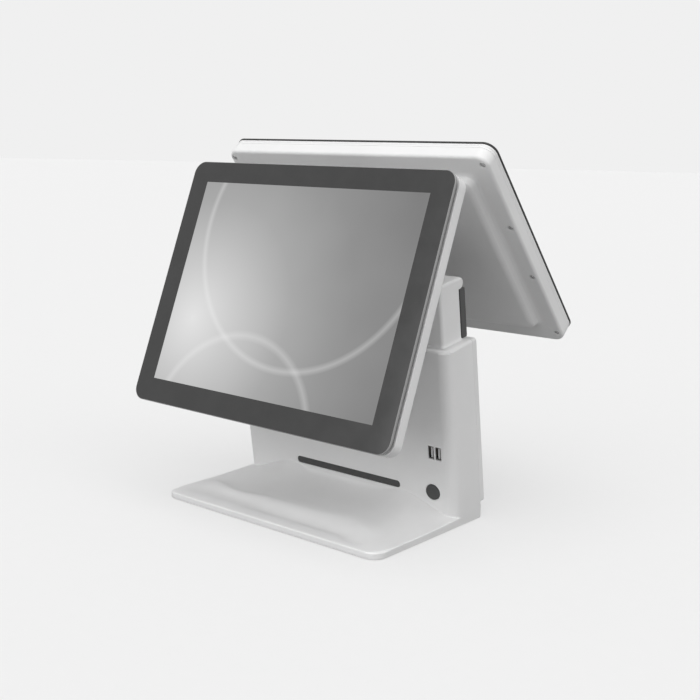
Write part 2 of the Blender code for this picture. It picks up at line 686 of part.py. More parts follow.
def bezel_frame(name, parent, hinge, material):
    """Ring behind the glass that carries the panel and takes the housing's screws."""
    half_width = GLASS_WIDTH / 2 - HOUSING_INSET
    half_height = GLASS_HEIGHT / 2 - HOUSING_INSET
    front, level = in_hinge_frame(hinge, GLASS_THICKNESS + GAP, 0.0)
    back = in_hinge_frame(hinge, FRAME_BACK, 0.0)[0]
    corner = GLASS_CORNER - HOUSING_INSET
    bm = bmesh.new()
    outline = (half_width, half_height, corner)
    add_loft(bm, [(*outline, front, level), (*outline, back, level)])
    frame = new_part(name, bm, material, parent)
    opening = (LCD_SIZE[0] / 2 + 0.0015, LCD_SIZE[2] / 2 + 0.0015)
    bm = bmesh.new()
    add_block(bm, (-opening[0], front - 0.003, level - opening[1]),
              (opening[0], back + 0.003, level + opening[1]))
    for x, height in screw_places():
        add_cylinder(bm, 0.0018, back - 0.003, back + 0.002, "Y", (x, level + height), 8)
    combine(frame, "DIFFERENCE", f"{name}_opening", bm)


def lcd_panel(name, parent, hinge):
    half_width = LCD_SIZE[0] / 2
    half_height = LCD_SIZE[2] / 2
    front, level = in_hinge_frame(hinge, GLASS_THICKNESS + GAP, 0.0)
    bm = bmesh.new()
    add_block(bm, (-half_width, front, level - half_height),
              (half_width, front + LCD_SIZE[1], level + half_height))
    new_part(name, bm, LCD_GREY, parent)


def housing_sections(hinge):
    """Cup-shaped shell: inside from the raised field to the rim, then outside back to the field."""
    half = (GLASS_WIDTH / 2 - HOUSING_INSET, GLASS_HEIGHT / 2 - HOUSING_INSET)
    corner = GLASS_CORNER - HOUSING_INSET
    field = (FIELD_HALF_WIDTH, FIELD_HALF_HEIGHT)
    front = FRAME_BACK + GAP
    wall = HOUSING_WALL
    shapes = (
        (field, FIELD_SLOPE + wall, 0.006, FIELD_BACK - wall),
        (field, wall, 0.006, FLANGE_BACK - wall),
        (half, wall, corner - wall, FLANGE_BACK - wall),
        (half, wall, corner - wall, front),
        (half, 0.0, corner, front),
        (half, 0.0, corner, FLANGE_BACK - 0.0025),
        (half, 0.0008, corner - 0.0008, FLANGE_BACK - 0.0008),
        (half, 0.0028, corner - 0.0028, FLANGE_BACK),
        (field, 0.0, 0.008, FLANGE_BACK),
        (field, FIELD_SLOPE, 0.008, FIELD_BACK),
    )
    sections = []
    for size, inset, radius, back in shapes:
        depth, level = in_hinge_frame(hinge, back, 0.0)
        sections.append((size[0] - inset, size[1] - inset, radius, depth, level))
    return sections


def display_housing(name, parent, hinge):
    bm = bmesh.new()
    add_loft(bm, housing_sections(hinge))
    housing = new_part(name, bm, SHELL_WHITE, parent)
    flange, level = in_hinge_frame(hinge, FLANGE_BACK, 0.0)
    field_inside = in_hinge_frame(hinge, FIELD_BACK - 0.008, 0.0)[0]
    bm = bmesh.new()
    for x, height in screw_places():
        add_cylinder(bm, 0.0032, flange - 0.0016, flange + 0.003, "Y", (x, level + height), 12)
    combine(housing, "DIFFERENCE", f"{name}_head_recesses", bm)
    bm = bmesh.new()
    for x, height in screw_places():
        add_cylinder(bm, 0.0018, flange - 0.005, flange - 0.001, "Y", (x, level + height), 8)
    half = (BARREL_HALF_LENGTH + 0.002, 0.0075)
    add_block(bm, (-half[0], field_inside, -half[1]), (half[0], field_inside + 0.012, half[1]), 0.003, "Y", 3)
    combine(housing, "DIFFERENCE", f"{name}_holes", bm)


def mount_plate(name, parent, hinge):
    front, level = in_hinge_frame(hinge, 0.0130, 0.0)
    bm = bmesh.new()
    add_block(bm, (-0.140, front, level - 0.105), (0.140, front + 0.0012, level + 0.105), 0.006, "Y", 2)
    new_part(name, bm, SHEET_STEEL, parent)


def driver_board(name, parent, hinge):
    front, level = in_hinge_frame(hinge, 0.0150, 0.0)
    bm = bmesh.new()
    add_block(bm, (-0.060, front, level - 0.098), (0.060, front + 0.0016, level - 0.052))
    board = new_part(name, bm, CIRCUIT_BOARD, parent)
    bm = bmesh.new()
    add_block(bm, (-0.050, front + 0.0010, level - 0.094), (-0.020, front + 0.0070, level - 0.086))
    add_block(bm, (0.005, front + 0.0010, level - 0.082), (0.029, front + 0.0036, level - 0.062))
    combine(board, "UNION", f"{name}_parts", bm)


def hinge_arm(name, parent, hinge):
    """Flange on the mount plate, a web through the housing and a barrel round the shaft."""
    flange_front = in_hinge_frame(hinge, 0.0145, 0.0)[0]
    flange_back = flange_front + 0.003
    bm = bmesh.new()
    add_block(bm, (-SPINE_HALF_WIDTH, flange_front, -0.030),
              (SPINE_HALF_WIDTH, flange_back, 0.030), 0.004, "Y", 3)
    arm = new_part(name, bm, HINGE_STEEL, parent)
    bm = bmesh.new()
    half = BARREL_HALF_LENGTH
    add_block(bm, (-half + 0.0005, flange_back - 0.001, -0.005), (half - 0.0005, -0.002, 0.005))
    combine(arm, "UNION", f"{name}_web", bm)
    bm = bmesh.new()
    add_cylinder(bm, BARREL_RADIUS, -half, half, "X", (0, 0), 24)
    combine(arm, "UNION", f"{name}_barrel", bm)
    bm = bmesh.new()
    add_cylinder(bm, BORE_RADIUS, -half - 0.003, half + 0.003, "X", (0, 0), 16)
    combine(arm, "DIFFERENCE", f"{name}_bore", bm)


def housing_screws(prefix, parent, hinge):
    """Housing screws: a flat head in a recess and a shank that ends in the frame."""
    head_back, level = in_hinge_frame(hinge, FLANGE_BACK - 0.0002, 0.0)
    head_front = head_back - 0.0011
    shank_front = in_hinge_frame(hinge, FRAME_BACK - 0.0025, 0.0)[0]
    profile = ((0.0, shank_front), (0.0015, shank_front), (0.0015, head_front), (0.0027, head_front),
               (0.0027, head_back), (0.0, head_back))
    for number, (x, height) in enumerate(screw_places(), start=1):
        name = f"{prefix}_screw_{number}"
        bm = bmesh.new()
        add_turned(bm, profile, 10)
        new_part(name, bm, BRIGHT_STEEL, parent, (x, 0, level + height))


def add_turned(bm, profile, steps):
    """Body turned about the Y axis from a profile of (radius, depth) that starts and ends on it."""
    verts = [bm.verts.new((radius, depth, 0)) for radius, depth in profile]
    edges = [bm.edges.new(pair) for pair in zip(verts, verts[1:])]
    bmesh.ops.spin(bm, geom=verts + edges, cent=(0, 0, 0), axis=(0, 1, 0), angle=2 * math.pi, steps=steps,
                   use_merge=True)
    bmesh.ops.remove_doubles(bm, verts=bm.verts, dist=0.00001)


def display(prefix, glass_name, parent, hinge, frame_material):
    display_glass(glass_name, parent, hinge)
    bezel_frame(f"{prefix}_bezel_frame", parent, hinge, frame_material)
    lcd_panel(f"{prefix}_lcd_panel", parent, hinge)
    display_housing(f"{prefix}_display_housing", parent, hinge)
    mount_plate(f"{prefix}_mount_plate", parent, hinge)
    driver_board(f"{prefix}_driver_board", parent, hinge)
    hinge_arm(f"{prefix}_hinge_arm", parent, hinge)
    housing_screws(prefix, parent, hinge)


# ---------------------------------------------------------------- the terminal
stand_shell()
column_rear_cover()
ballast_plate()
feet()
label_strip()
power_button()
power_switch()
front_usb_ports()
motherboard()
cpu_heatsink()
memory_and_drive()
io_panel()
io_ports()
spine_bracket()
neck()
hinge_bracket("front_hinge_bracket", FRONT_AXIS, 0.0, -1)
hinge_bracket("rear_hinge_bracket", REAR_AXIS, SPINE_THICKNESS, 1)
hinge_shaft("front_hinge_shaft", FRONT_AXIS)
hinge_shaft("rear_hinge_shaft", REAR_AXIS)
display("front", "front_touch_glass", FRONT, FRONT_HINGE, FRAME_DARK)
display("rear", "rear_cover_glass", REAR, REAR_HINGE, SHELL_WHITE)
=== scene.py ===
"""Looks of the point-of-sale terminal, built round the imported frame. Metres, +Z up."""

from math import copysign, cos, radians, sin, sqrt

import bmesh
import bpy
import numpy as np
from mathutils import Matrix, Vector


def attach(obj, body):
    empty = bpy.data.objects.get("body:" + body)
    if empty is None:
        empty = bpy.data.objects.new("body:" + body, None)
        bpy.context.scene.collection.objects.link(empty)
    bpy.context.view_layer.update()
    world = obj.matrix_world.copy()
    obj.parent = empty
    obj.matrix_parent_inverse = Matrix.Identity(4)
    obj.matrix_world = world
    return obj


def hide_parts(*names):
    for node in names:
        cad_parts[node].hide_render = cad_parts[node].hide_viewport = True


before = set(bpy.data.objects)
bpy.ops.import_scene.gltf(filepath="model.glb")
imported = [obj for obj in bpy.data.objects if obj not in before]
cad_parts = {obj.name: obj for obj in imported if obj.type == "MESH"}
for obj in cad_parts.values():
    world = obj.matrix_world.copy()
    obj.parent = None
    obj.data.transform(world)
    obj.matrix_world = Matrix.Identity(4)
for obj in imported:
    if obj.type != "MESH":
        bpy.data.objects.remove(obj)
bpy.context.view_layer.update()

# ---- dimensions shared with the frame
GAP = 0.0003
WALL = 0.003
HALF_WIDTH = 0.15
HALF_DEPTH = 0.0943
BASE_CORNER = 0.015
RIM_BOTTOM = 0.0008
LIP_TOP = 0.0078
HEEL_TOP = 0.0165
HEEL_CORNER = 0.003
CENTRE_SHIFT = -0.055444

LEAN = radians(9.7)
FOOT_Y = 0.072
FOOT_Z = 0.01
COLUMN_BACK = 0.0285
COLUMN_FACE = -COLUMN_BACK
COLUMN_TOP = 0.19
COLUMN_CORNER = 0.012
COVER_SPLIT = 0.02
COVER_BOTTOM = 0.004
NECK_HALF_WIDTH = 0.14
NECK_FRONT = -0.0185
NECK_BACK = 0.017
NECK_TOP = 0.256
NECK_ROLL = 0.0058
PANEL_BACK = 0.0285

GLASS = (0.3546, 0.2781)
GLASS_CORNER = 0.014
GLASS_THICKNESS = 0.003
FRAME_BACK = 0.008
FLANGE_BACK = 0.0224
FIELD_BACK = 0.033
FIELD = (0.156, 0.115)
FIELD_SLOPE = 0.007
HOUSING_INSET = 0.0005
HOUSING_HALF = (GLASS[0] / 2 - HOUSING_INSET, GLASS[1] / 2 - HOUSING_INSET)
HOUSING_CORNER = GLASS_CORNER - HOUSING_INSET
HOUSING_WALL = 0.0026
LCD = (0.326, 0.252)
SCREEN = (0.3041, 0.2281)
SCREEN_RISE = 0.001
SCREW_PLACES = [(x, z) for x in (-0.17, 0.17) for z in (0.128, 0.041, -0.033, -0.1245)]

SHAFT_RADIUS = 0.004
BORE_RADIUS = 0.0043
BARREL_RADIUS = 0.009
BARREL_HALF_LENGTH = 0.0495
EAR_INNER = 0.05
EAR_OUTER = 0.054
SPINE_HALF_WIDTH = 0.06
HINGE_PLATE = 0.003

BUTTON = (0.1226, 0.0302)
BUTTON_RADIUS = 0.0086
USB_X = (0.1236, 0.1326)
USB_HEIGHT = 0.076
USB_HALF = (0.0035, 0.00725)
STRIP = (0.005, 0.0293)
STRIP_HALF = (0.074, 0.0039)
IO_HEIGHT = 0.032
IO_WINDOW_HALF = (0.098, 0.018)
PORT_BACK = 0.0156
PORT_FRONT = 0.0038 - PORT_BACK

# ---- dimensions of the looks alone
LIP_ROUND = 0.0015
LEDGE_ROUND = 0.0035
HEEL_ROUND = 0.0018
COVER_ROUND = 0.0015
PANEL_ROUND = 0.0018
STRIP_ROUND = 0.0004
NECK_SHOULDER = 0.008
NECK_SIDE_ROUND = 0.003
HOUSING_ROUND = 0.0032
PAD_RISE = 0.0042
PAD_HOLLOW = 0.0028
PAD_FOOT = -0.0605
FOOT_GROOVE = 0.0025
SWEEP_START = -0.024
SWEEP_END = 0.0415
SWEEP_TOP = 0.0315

CAMERA_PLACE = Vector((0.7642, -0.9686, 0.3914))
CAMERA_TARGET = Vector((-0.0008, -0.0561, 0.183))
CAMERA_ROLL = radians(1.25)
CAMERA_LENS = 57.3
CAMERA_SHIFT = (0.0381, -0.0074)
WORLD_LIGHT = 0.56
BACKDROP_LIGHT = 0.871
FLOOR_GLOW = 0.512

shift = Matrix.Translation
COLUMN = shift((0, FOOT_Y + CENTRE_SHIFT, FOOT_Z)) @ Matrix.Rotation(LEAN, 4, "X")
TERMINAL = shift((0, CENTRE_SHIFT, 0))

# Where each hinge lies behind the middle of its glass: depth and height
FRONT_HINGE_PLACE = (0.062, 0)
REAR_HINGE_PLACE = (0.065, -0.0125)


def hinge_frames(y, z, tilt, turn, hinge_place):
    """Frames of the hinge and the glass, from the glass's middle and its tilt and turn in degrees."""
    axes = Matrix.Rotation(radians(turn), 4, "Z") @ Matrix.Rotation(radians(-tilt), 4, "X")
    glass = shift((0, y + CENTRE_SHIFT, z)) @ axes
    return glass @ shift((0, *hinge_place)), glass


FRONT_HINGE, FRONT_GLASS = hinge_frames(-0.0697, 0.2455, 20.7, 0, FRONT_HINGE_PLACE)
REAR_HINGE, REAR_GLASS = hinge_frames(0.1357, 0.3008, 42.7, 180, REAR_HINGE_PLACE)
FRONT_AXIS = COLUMN.inverted() @ FRONT_HINGE.translation
REAR_AXIS = COLUMN.inverted() @ REAR_HINGE.translation


# ---- materials
WHITE_LIGHT = (1.0, 1.0, 1.0, 1.0)


def feed(target, inputs):
    """Links each input of a node to a socket, or sets its value."""
    for key, value in inputs.items():
        if isinstance(value, bpy.types.NodeSocket):
            target.id_data.links.new(value, target.inputs[key])
        else:
            target.inputs[key].default_value = value


def node(near, kind, inputs=None, **settings):
    """New node in the same tree as a socket."""
    made = near.id_data.nodes.new("ShaderNode" + kind)
    for key, value in settings.items():
        setattr(made, key, value)
    feed(made, inputs or {})
    return made


def math_node(operation, first, second=0):
    return node(first, "Math", {0: first, 1: second}, operation=operation).outputs[0]


def mix(factor, first, second):
    inputs = {"Factor": factor, "A": first, "B": second}
    return node(factor, "Mix", inputs, data_type="RGBA").outputs["Result"]


def rgb(colour, factor=1.0):
    """Colour triple from a grey or a colour, made darker or lighter."""
    channels = colour if isinstance(colour, tuple) else (colour,) * 3
    return tuple(min(1.0, channel * factor) for channel in channels)


def ramp(source, stops):
    """Colour ramp from (position, grey or colour) stops."""
    made = node(source, "ValToRGB", {"Fac": source})
    elements = made.color_ramp.elements
    while len(elements) < len(stops):
        elements.new(0.5)
    for element, (position, colour) in zip(elements, stops):
        element.position = position
        element.color = (*rgb(colour), 1.0)
    return made.outputs["Color"]


def remap(source, low, high, start=0, end=1.0):
    """Maps start..end of a value to low..high."""
    inputs = {"Value": source, "From Min": start, "From Max": end, "To Min": low, "To Max": high}
    return node(source, "MapRange", inputs).outputs["Result"]


def noise(coords, scale, detail=3.0, roughness=0.5):
    inputs = {"Vector": coords, "Scale": scale, "Detail": detail, "Roughness": roughness}
    return node(coords, "TexNoise", inputs).outputs["Fac"]


def bump(height, strength, distance):
    inputs = {"Height": height, "Strength": strength, "Distance": distance}
    return node(height, "Bump", inputs).outputs["Normal"]


def new_material(name):
    material = bpy.data.materials.new(name)
    material.use_nodes = True
    return material, node(material.node_tree, "TexCoord").outputs["Object"]


def shaded(material, inputs):
    feed(material.node_tree.nodes["Principled BSDF"], inputs)
    return material


def plastic(name, grey, roughness, grain_scale=1500.0, grain=0.00003, variation=0.03):
    """Moulded plastic: fine spark-eroded grain, faint clouding and slightly rubbed edges."""
    material, coords = new_material(name)
    fine = noise(coords, grain_scale, 3.0, 0.6)
    clouds = ((0.3, grey * (1 - variation)), (0.7, grey * (1 + variation)))
    clouded = ramp(noise(coords, 11.0, 4.0), clouds)
    pointiness = node(coords, "NewGeometry").outputs["Pointiness"]
    rubbed = remap(pointiness, 0, 0.1, 0.515, 0.6)
    worn = math_node("SUBTRACT", remap(fine, roughness - 0.06, roughness + 0.06), rubbed)
    smudges = remap(noise(coords, 34.0, 5.0), -0.05, 0.05)
    return shaded(material, {
        "Base Color": mix(rubbed, clouded, (*rgb(grey, 1.35), 1.0)),
        "Roughness": math_node("ADD", worn, smudges),
        "Normal": bump(fine, 0.35, grain)})


def metal(name, colour, roughness, stretch, metallic=1.0):
    """Metal with a directional grain; stretch is the coordinate scale on each axis."""
    material, coords = new_material(name)
    mapped = node(coords, "Mapping", {"Vector": coords, "Scale": stretch}).outputs["Vector"]
    lines = noise(mapped, 1.0, 4.0, 0.65)
    clouds = ((0.25, rgb(colour, 0.88)), (0.75, rgb(colour, 1.06)))
    return shaded(material, {
        "Base Color": ramp(noise(coords, 25.0, 4.0), clouds),
        "Metallic": metallic,
        "Roughness": remap(lines, roughness - 0.08, roughness + 0.12),
        "Normal": bump(lines, 0.3, 0.00002)})


def rubber(name):
    """Matt black rubber with a coarse grain."""
    material, coords = new_material(name)
    fine = noise(coords, 2600.0, 4.0, 0.7)
    return shaded(material, {
        "Base Color": ramp(fine, ((0.2, 0.018), (0.8, 0.04))),
        "Roughness": remap(fine, 0.72, 0.95),
        "Normal": bump(fine, 0.5, 0.00005)})


def circuit_board(name):
    """Green solder mask with copper runs under it and pads on a grid."""
    material, coords = new_material(name)
    inputs = {"Vector": coords, "Scale": 260.0}
    cells = node(coords, "TexVoronoi", inputs, feature="DISTANCE_TO_EDGE", distance="MANHATTAN")
    runs = cells.outputs["Distance"]
    inputs = {"Vector": coords, "Scale": 420.0, "Randomness": 0.35}
    pads = node(coords, "TexVoronoi", inputs).outputs["Distance"]
    copper = ramp(runs, ((0.04, (0.05, 0.26, 0.11)), (0.09, (0.015, 0.12, 0.045))))
    tin = ramp(pads, ((0.14, 1.0), (0.2, 0)))
    return shaded(material, {
        "Base Color": mix(tin, copper, (0.62, 0.63, 0.62, 1.0)),
        "Roughness": remap(runs, 0.3, 0.45, 0, 0.3),
        "Normal": bump(tin, 0.4, 0.00008)})


def glass_border(name, grey, roughness):
    """Black ink behind smooth glass, with a trace of dust and finger marks."""
    material, coords = new_material(name)
    marks = noise(coords, 28.0, 6.0, 0.62)
    return shaded(material, {
        "Base Color": ramp(marks, ((0.3, grey * 0.94), (0.8, grey * 1.1))),
        "Roughness": remap(marks, roughness, roughness + 0.1, 0.35, 0.75),
        "IOR": 1.52})


def distance_from(position, centre):
    """Distance on the screen from a centre (x, z)."""
    inputs = {0: position, 1: (centre[0], 0, centre[1])}
    offset = node(position, "VectorMath", inputs, operation="SUBTRACT").outputs["Vector"]
    return node(position, "VectorMath", {0: offset}, operation="LENGTH").outputs["Value"]


def lit_screen(name, glow_centre, glow_reach, levels, rings, strength):
    """Panel showing a plain abstract picture: one broad glow and a few soft rings of light."""
    material, coords = new_material(name)
    inputs = {0: coords, 1: (1.0, 0, 1.0)}
    position = node(coords, "VectorMath", inputs, operation="MULTIPLY").outputs["Vector"]
    share = remap(distance_from(position, glow_centre), 0, 1.0, 0, glow_reach)
    cloud = remap(noise(coords, 9.0, 2.0), 0, 0.1)
    picture = mix(cloud, ramp(share, levels), WHITE_LIGHT)
    for centre, radius, width, amount in rings:
        off = math_node("SUBTRACT", distance_from(position, centre), radius)
        ring = remap(math_node("ABSOLUTE", off), 1.0, 0, 0, width)
        picture = mix(math_node("MULTIPLY", ring, amount), picture, WHITE_LIGHT)
    return shaded(material, {
        "Base Color": (0.012, 0.012, 0.012, 1.0),
        "Roughness": remap(noise(coords, 30.0, 5.0), 0.07, 0.14),
        "Emission Color": picture,
        "Emission Strength": strength})


WHITE = plastic("white_plastic", 0.77, 0.5)
# Light grey on the front glass's polished edge and the front bezel rim: a painted reflection of the bright
# surroundings along the bevelled edge
PAINTED_REFLECTION_EDGE = plastic("painted_reflection_edge", 0.3, 0.32, 900.0, 0.00001)
DARK_EDGE = plastic("dark_edge", 0.022, 0.55)
DARK = plastic("dark_plastic", 0.055, 0.46, 1300.0, 0.00004, 0.06)
SOFT_DARK = plastic("panel_dark_plastic", 0.075, 0.42, 1300.0, 0.00004, 0.06)
PORT_BLACK = plastic("port_black", 0.022, 0.4)
PORT_LIGHT = plastic("port_light", 0.52, 0.42)
BORDER = glass_border("glass_border", 0.042, 0.1)
REAR_BORDER = glass_border("rear_glass_border", 0.016, 0.08)
SCREEN_ON = lit_screen("screen_picture", (-0.118, -0.04), 0.3,
                       ((0, 0.78), (0.2, 0.58), (0.45, 0.36), (0.72, 0.23), (1.0, 0.16)),
                       (((0.02, 0.07), 0.15, 0.005, 0.22), ((-0.03, -0.16), 0.11, 0.006, 0.2)), 0.92)
SCREEN_OFF = lit_screen("rear_screen_picture", (0.06, 0.04), 0.32,
                        ((0, 0.06), (0.6, 0.035), (1.0, 0.025)),
                        (((0, -0.2), 0.24, 0.0012, 0.05),), 0.6)
STEEL = metal("galvanised_steel", 0.52, 0.38, (160.0,) * 3)
BRIGHT = metal("bright_steel", 0.72, 0.24, (900.0,) * 3)
HINGE = metal("coated_hinge_steel", 0.085, 0.44, (1400.0,) * 3, 0.55)
ALUMINIUM = metal("aluminium", (0.62, 0.62, 0.63), 0.34, (60.0, 2200.0, 2200.0))
PANEL_GREY = metal("panel_back_steel", (0.34, 0.34, 0.35), 0.36, (1800.0, 1800.0, 40.0), 0.8)
GOLD = metal("contact_gold", (0.8, 0.62, 0.28), 0.26, (2000.0,) * 3)
RUBBER = rubber("foot_rubber")
BOARD = circuit_board("circuit_board")

SOCKET_MATERIALS = [BRIGHT, PORT_BLACK, GOLD, PORT_LIGHT, STEEL]
METAL_FACE, BLACK_FACE, GOLD_FACE, LIGHT_FACE, POST_FACE = range(5)


# ---- shape tools
def arc_points(centre, radius, start, end, steps):
    points = []
    for step in range(steps + 1):
        angle = radians(start + (end - start) * step / steps)
        points.append((centre[0] + radius * cos(angle), centre[1] + radius * sin(angle)))
    return points


def rounded_outline(half_width, half_height, radius, centre, steps):
    """Points (x, z) round a rectangle with arc corners, anticlockwise from the lower right."""
    points = []
    for quarter, (side, level) in enumerate(((1, -1), (1, 1), (-1, 1), (-1, -1))):
        corner = (centre[0] + side * (half_width - radius), centre[1] + level * (half_height - radius))
        points += arc_points(corner, radius, 90 * (quarter - 1), 90 * quarter, steps)
    return points


def bridge(bm, first, second):
    for i in range(len(first)):
        j = (i + 1) % len(first)
        bm.faces.new((first[i], first[j], second[j], second[i]))


def skin(bm, loops, closed=False):
    """Faces between the loops, and over the two ends unless the body closes on itself."""
    for first, second in zip(loops, loops[1:]):
        bridge(bm, first, second)
    if closed:
        bridge(bm, loops[-1], loops[0])
    else:
        bm.faces.new(loops[0])
        bm.faces.new(loops[-1])


def at(axis, along, a, b):
    """Point at a place along one axis, and at a and b on the other two."""
    place = [a, b]
    place.insert("XYZ".index(axis), along)
    return place


def loft(bm, sections, steps=12, centre=(0, 0), closed=False, axis="Y"):
    """Body through rounded rectangles: (half width, half height, radius, depth[, own centre])."""
    loops = []
    for half_width, half_height, radius, depth, *own in sections:
        outline = rounded_outline(half_width, half_height, radius, own[0] if own else centre, steps)
        loops.append([bm.verts.new(at(axis, depth, a, b)) for a, b in outline])
    skin(bm, loops, closed)
    return loops


def inside(half, inset, radius, depth):
    """Section that lies this far inside a half width and half height."""
    return half[0] - inset, half[1] - inset, radius, depth


def rounded_edge(half, corner, growth, middle, radius, end, steps):
    """Sections round an edge from 90 degrees to its end; the corner radius grows with the inset."""
    sections = []
    for depth, level in arc_points((middle, 0), radius, 90, end, steps):
        inset = radius - level
        sections.append(inside(half, inset, corner + inset * growth, depth))
    return sections


def block(bm, low, high, radius=0, axis="Z", steps=6):
    """Box between two corners, with the edges along one axis rounded if a radius is given."""
    low, high = Vector(low), Vector(high)
    middle = (low + high) / 2
    if radius <= 0:
        made = bmesh.ops.create_cube(bm, size=1.0)["verts"]
        bmesh.ops.scale(bm, vec=high - low, verts=made)
        bmesh.ops.translate(bm, vec=middle, verts=made)
        return
    half = (high - low) / 2
    along = "XYZ".index(axis)
    a, b = (i for i in range(3) if i != along)
    outline = rounded_outline(half[a], half[b], radius, (middle[a], middle[b]), steps)
    ends = (low[along], high[along])
    skin(bm, [[bm.verts.new(at(axis, end, *point)) for point in outline] for end in ends])


def slab(bm, centre, half, low, high, radius=0, steps=4):
    """Block between two depths, round a centre (x, z); half is its half width and height."""
    x, z = centre
    block(bm, (x - half[0], low, z - half[1]), (x + half[0], high, z + half[1]), radius, "Y", steps)


def block_pair(bm, inner, outer, height, half_height, low, high, *rounding):
    """A block on each hand of the middle, between an inner and an outer x."""
    for hand in (-1, 1):
        centre = (hand * (inner + outer) / 2, height)
        slab(bm, centre, ((outer - inner) / 2, half_height), low, high, *rounding)


def lathe(bm, profile, axis="Y", centre=(0, 0), segments=40, start=0):
    """Body turned about an axis through centre, from (radius, place after start) pairs."""
    loops = []
    for radius, along in profile:
        rim = arc_points(centre, radius, 0, 360, segments)[:-1] if radius > 0 else [centre]
        loops.append([bm.verts.new(at(axis, start + along, a, b)) for a, b in rim])
    for first, second in zip(loops, loops[1:]):
        if len(first) == len(second) > 1:
            bridge(bm, first, second)
        elif len(first) != len(second):
            tip, rim = (first[0], second) if len(first) == 1 else (second[0], first)
            for i in range(segments):
                bm.faces.new((tip, rim[i], rim[(i + 1) % segments]))
    for loop in (loops[0], loops[-1]):
        if len(loop) > 1:
            bm.faces.new(loop)


def bar(bm, radius, low, high, centre, segments):
    """Round bar along X."""
    lathe(bm, ((radius, low), (radius, high)), "X", centre, segments)


def painted(bm, index, shape, *arguments):
    """Adds a shape to the mesh and gives its faces a material index."""
    before = set(bm.faces)
    shape(bm, *arguments)
    for face in bm.faces:
        if face not in before:
            face.material_index = index


def new_object(name, data, place):
    made = bpy.data.objects.new(name, data)
    bpy.context.scene.collection.objects.link(made)
    made.matrix_world = place
    return made


def new_piece(name, place, shape, *arguments, **options):
    """Object with what shape(bm, *arguments, **options) makes."""
    bm = bmesh.new()
    shape(bm, *arguments, **options)
    bmesh.ops.recalc_face_normals(bm, faces=bm.faces)
    mesh = bpy.data.meshes.new(name)
    bm.to_mesh(mesh)
    bm.free()
    return new_object(name, mesh, place)


def discard(thing):
    mesh = thing.data
    bpy.data.objects.remove(thing)
    bpy.data.meshes.remove(mesh)


def settle(thing):
    """Applies the modifiers of an object to its mesh."""
    bpy.context.view_layer.update()
    graph = bpy.context.evaluated_depsgraph_get()
    mesh = bpy.data.meshes.new_from_object(thing.evaluated_get(graph))
    old = thing.data
    thing.modifiers.clear()
    thing.data = mesh
    mesh.name = thing.name
    bpy.data.meshes.remove(old)


def boolean(thing, shape, *arguments, operation="DIFFERENCE", place=None):
    """Cuts or joins what shape(bm, *arguments) makes, in the piece's frame or the given one."""
    helper = new_piece("helper", place or thing.matrix_world, shape, *arguments)
    modifier = thing.modifiers.new("cut", "BOOLEAN")
    modifier.operation = operation
    modifier.solver = "EXACT"
    modifier.object = helper
    settle(thing)
    discard(helper)


def bevel(thing, width, segments, angle):
    """Rounds the edges that are sharper than an angle."""
    modifier = thing.modifiers.new("soften", "BEVEL")
    modifier.width = width
    modifier.segments = segments
    modifier.limit_method = "ANGLE"
    modifier.angle_limit = radians(angle)


def finish_piece(thing, body, node_name, materials, sharp=38):
    """Materials, shading and place in the frame of a finished piece."""
    for material in materials:
        thing.data.materials.append(material)
    thing.data.shade_smooth()
    thing.data.set_sharp_from_angle(angle=radians(sharp))
    modifier = thing.modifiers.new("shading", "WEIGHTED_NORMAL")
    modifier.keep_sharp = True
    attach(thing, body)
    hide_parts(node_name)


# ---- base and column front
def smooth(value, start, end):
    share = np.clip((value - start) / (end - start), 0, 1.0)
    return share * share * (3 - 2 * share)


def quarter_steps(count):
    """Shares from 0 to 1 that follow a quarter circle, close together at 0."""
    return 1 - np.cos(np.radians(np.linspace(0, 90, count)))


def corner_drop(across, half, radius):
    """How far an outline with an arc corner has fallen back at this distance from its middle."""
    beyond = max(0, across - (half - radius))
    return radius - sqrt(max(0, radius**2 - beyond**2))


def edge_drop(distance, radius):
    """How far a rounded edge has dropped at this distance inside the outline."""
    within = np.clip(radius - distance, 0, radius)
    return radius - np.sqrt(radius**2 - within**2)


def rim_drop(across, y, front, corner, radius):
    """The same for a plan with arc front corners of this size; y grows inwards from front."""
    ahead = y - front
    corner_x = np.maximum(0, across - (HALF_WIDTH - corner))
    corner_y = np.maximum(0, corner - ahead)
    in_corner = corner - np.sqrt(corner_x**2 + corner_y**2)
    inside_plan = np.minimum(HALF_WIDTH - across, ahead)
    return edge_drop(np.where((corner_x > 0) & (corner_y > 0), in_corner, inside_plan), radius)


def crest_line(x):
    """How far back the crest of the base's raised pad lies; it wanders a little across the width."""
    places = (-0.15, -0.134, -0.084, -0.064, -0.047, -0.021, 0.041, 0.055, 0.079, 0.105, 0.15)
    depths = (-0.042, -0.045, -0.059, -0.056, -0.05, -0.052, -0.05, -0.044, -0.044, -0.058, -0.06)
    return float(np.mean([np.interp(x + off, places, depths) for off in np.linspace(-0.01, 0.01, 9)]))


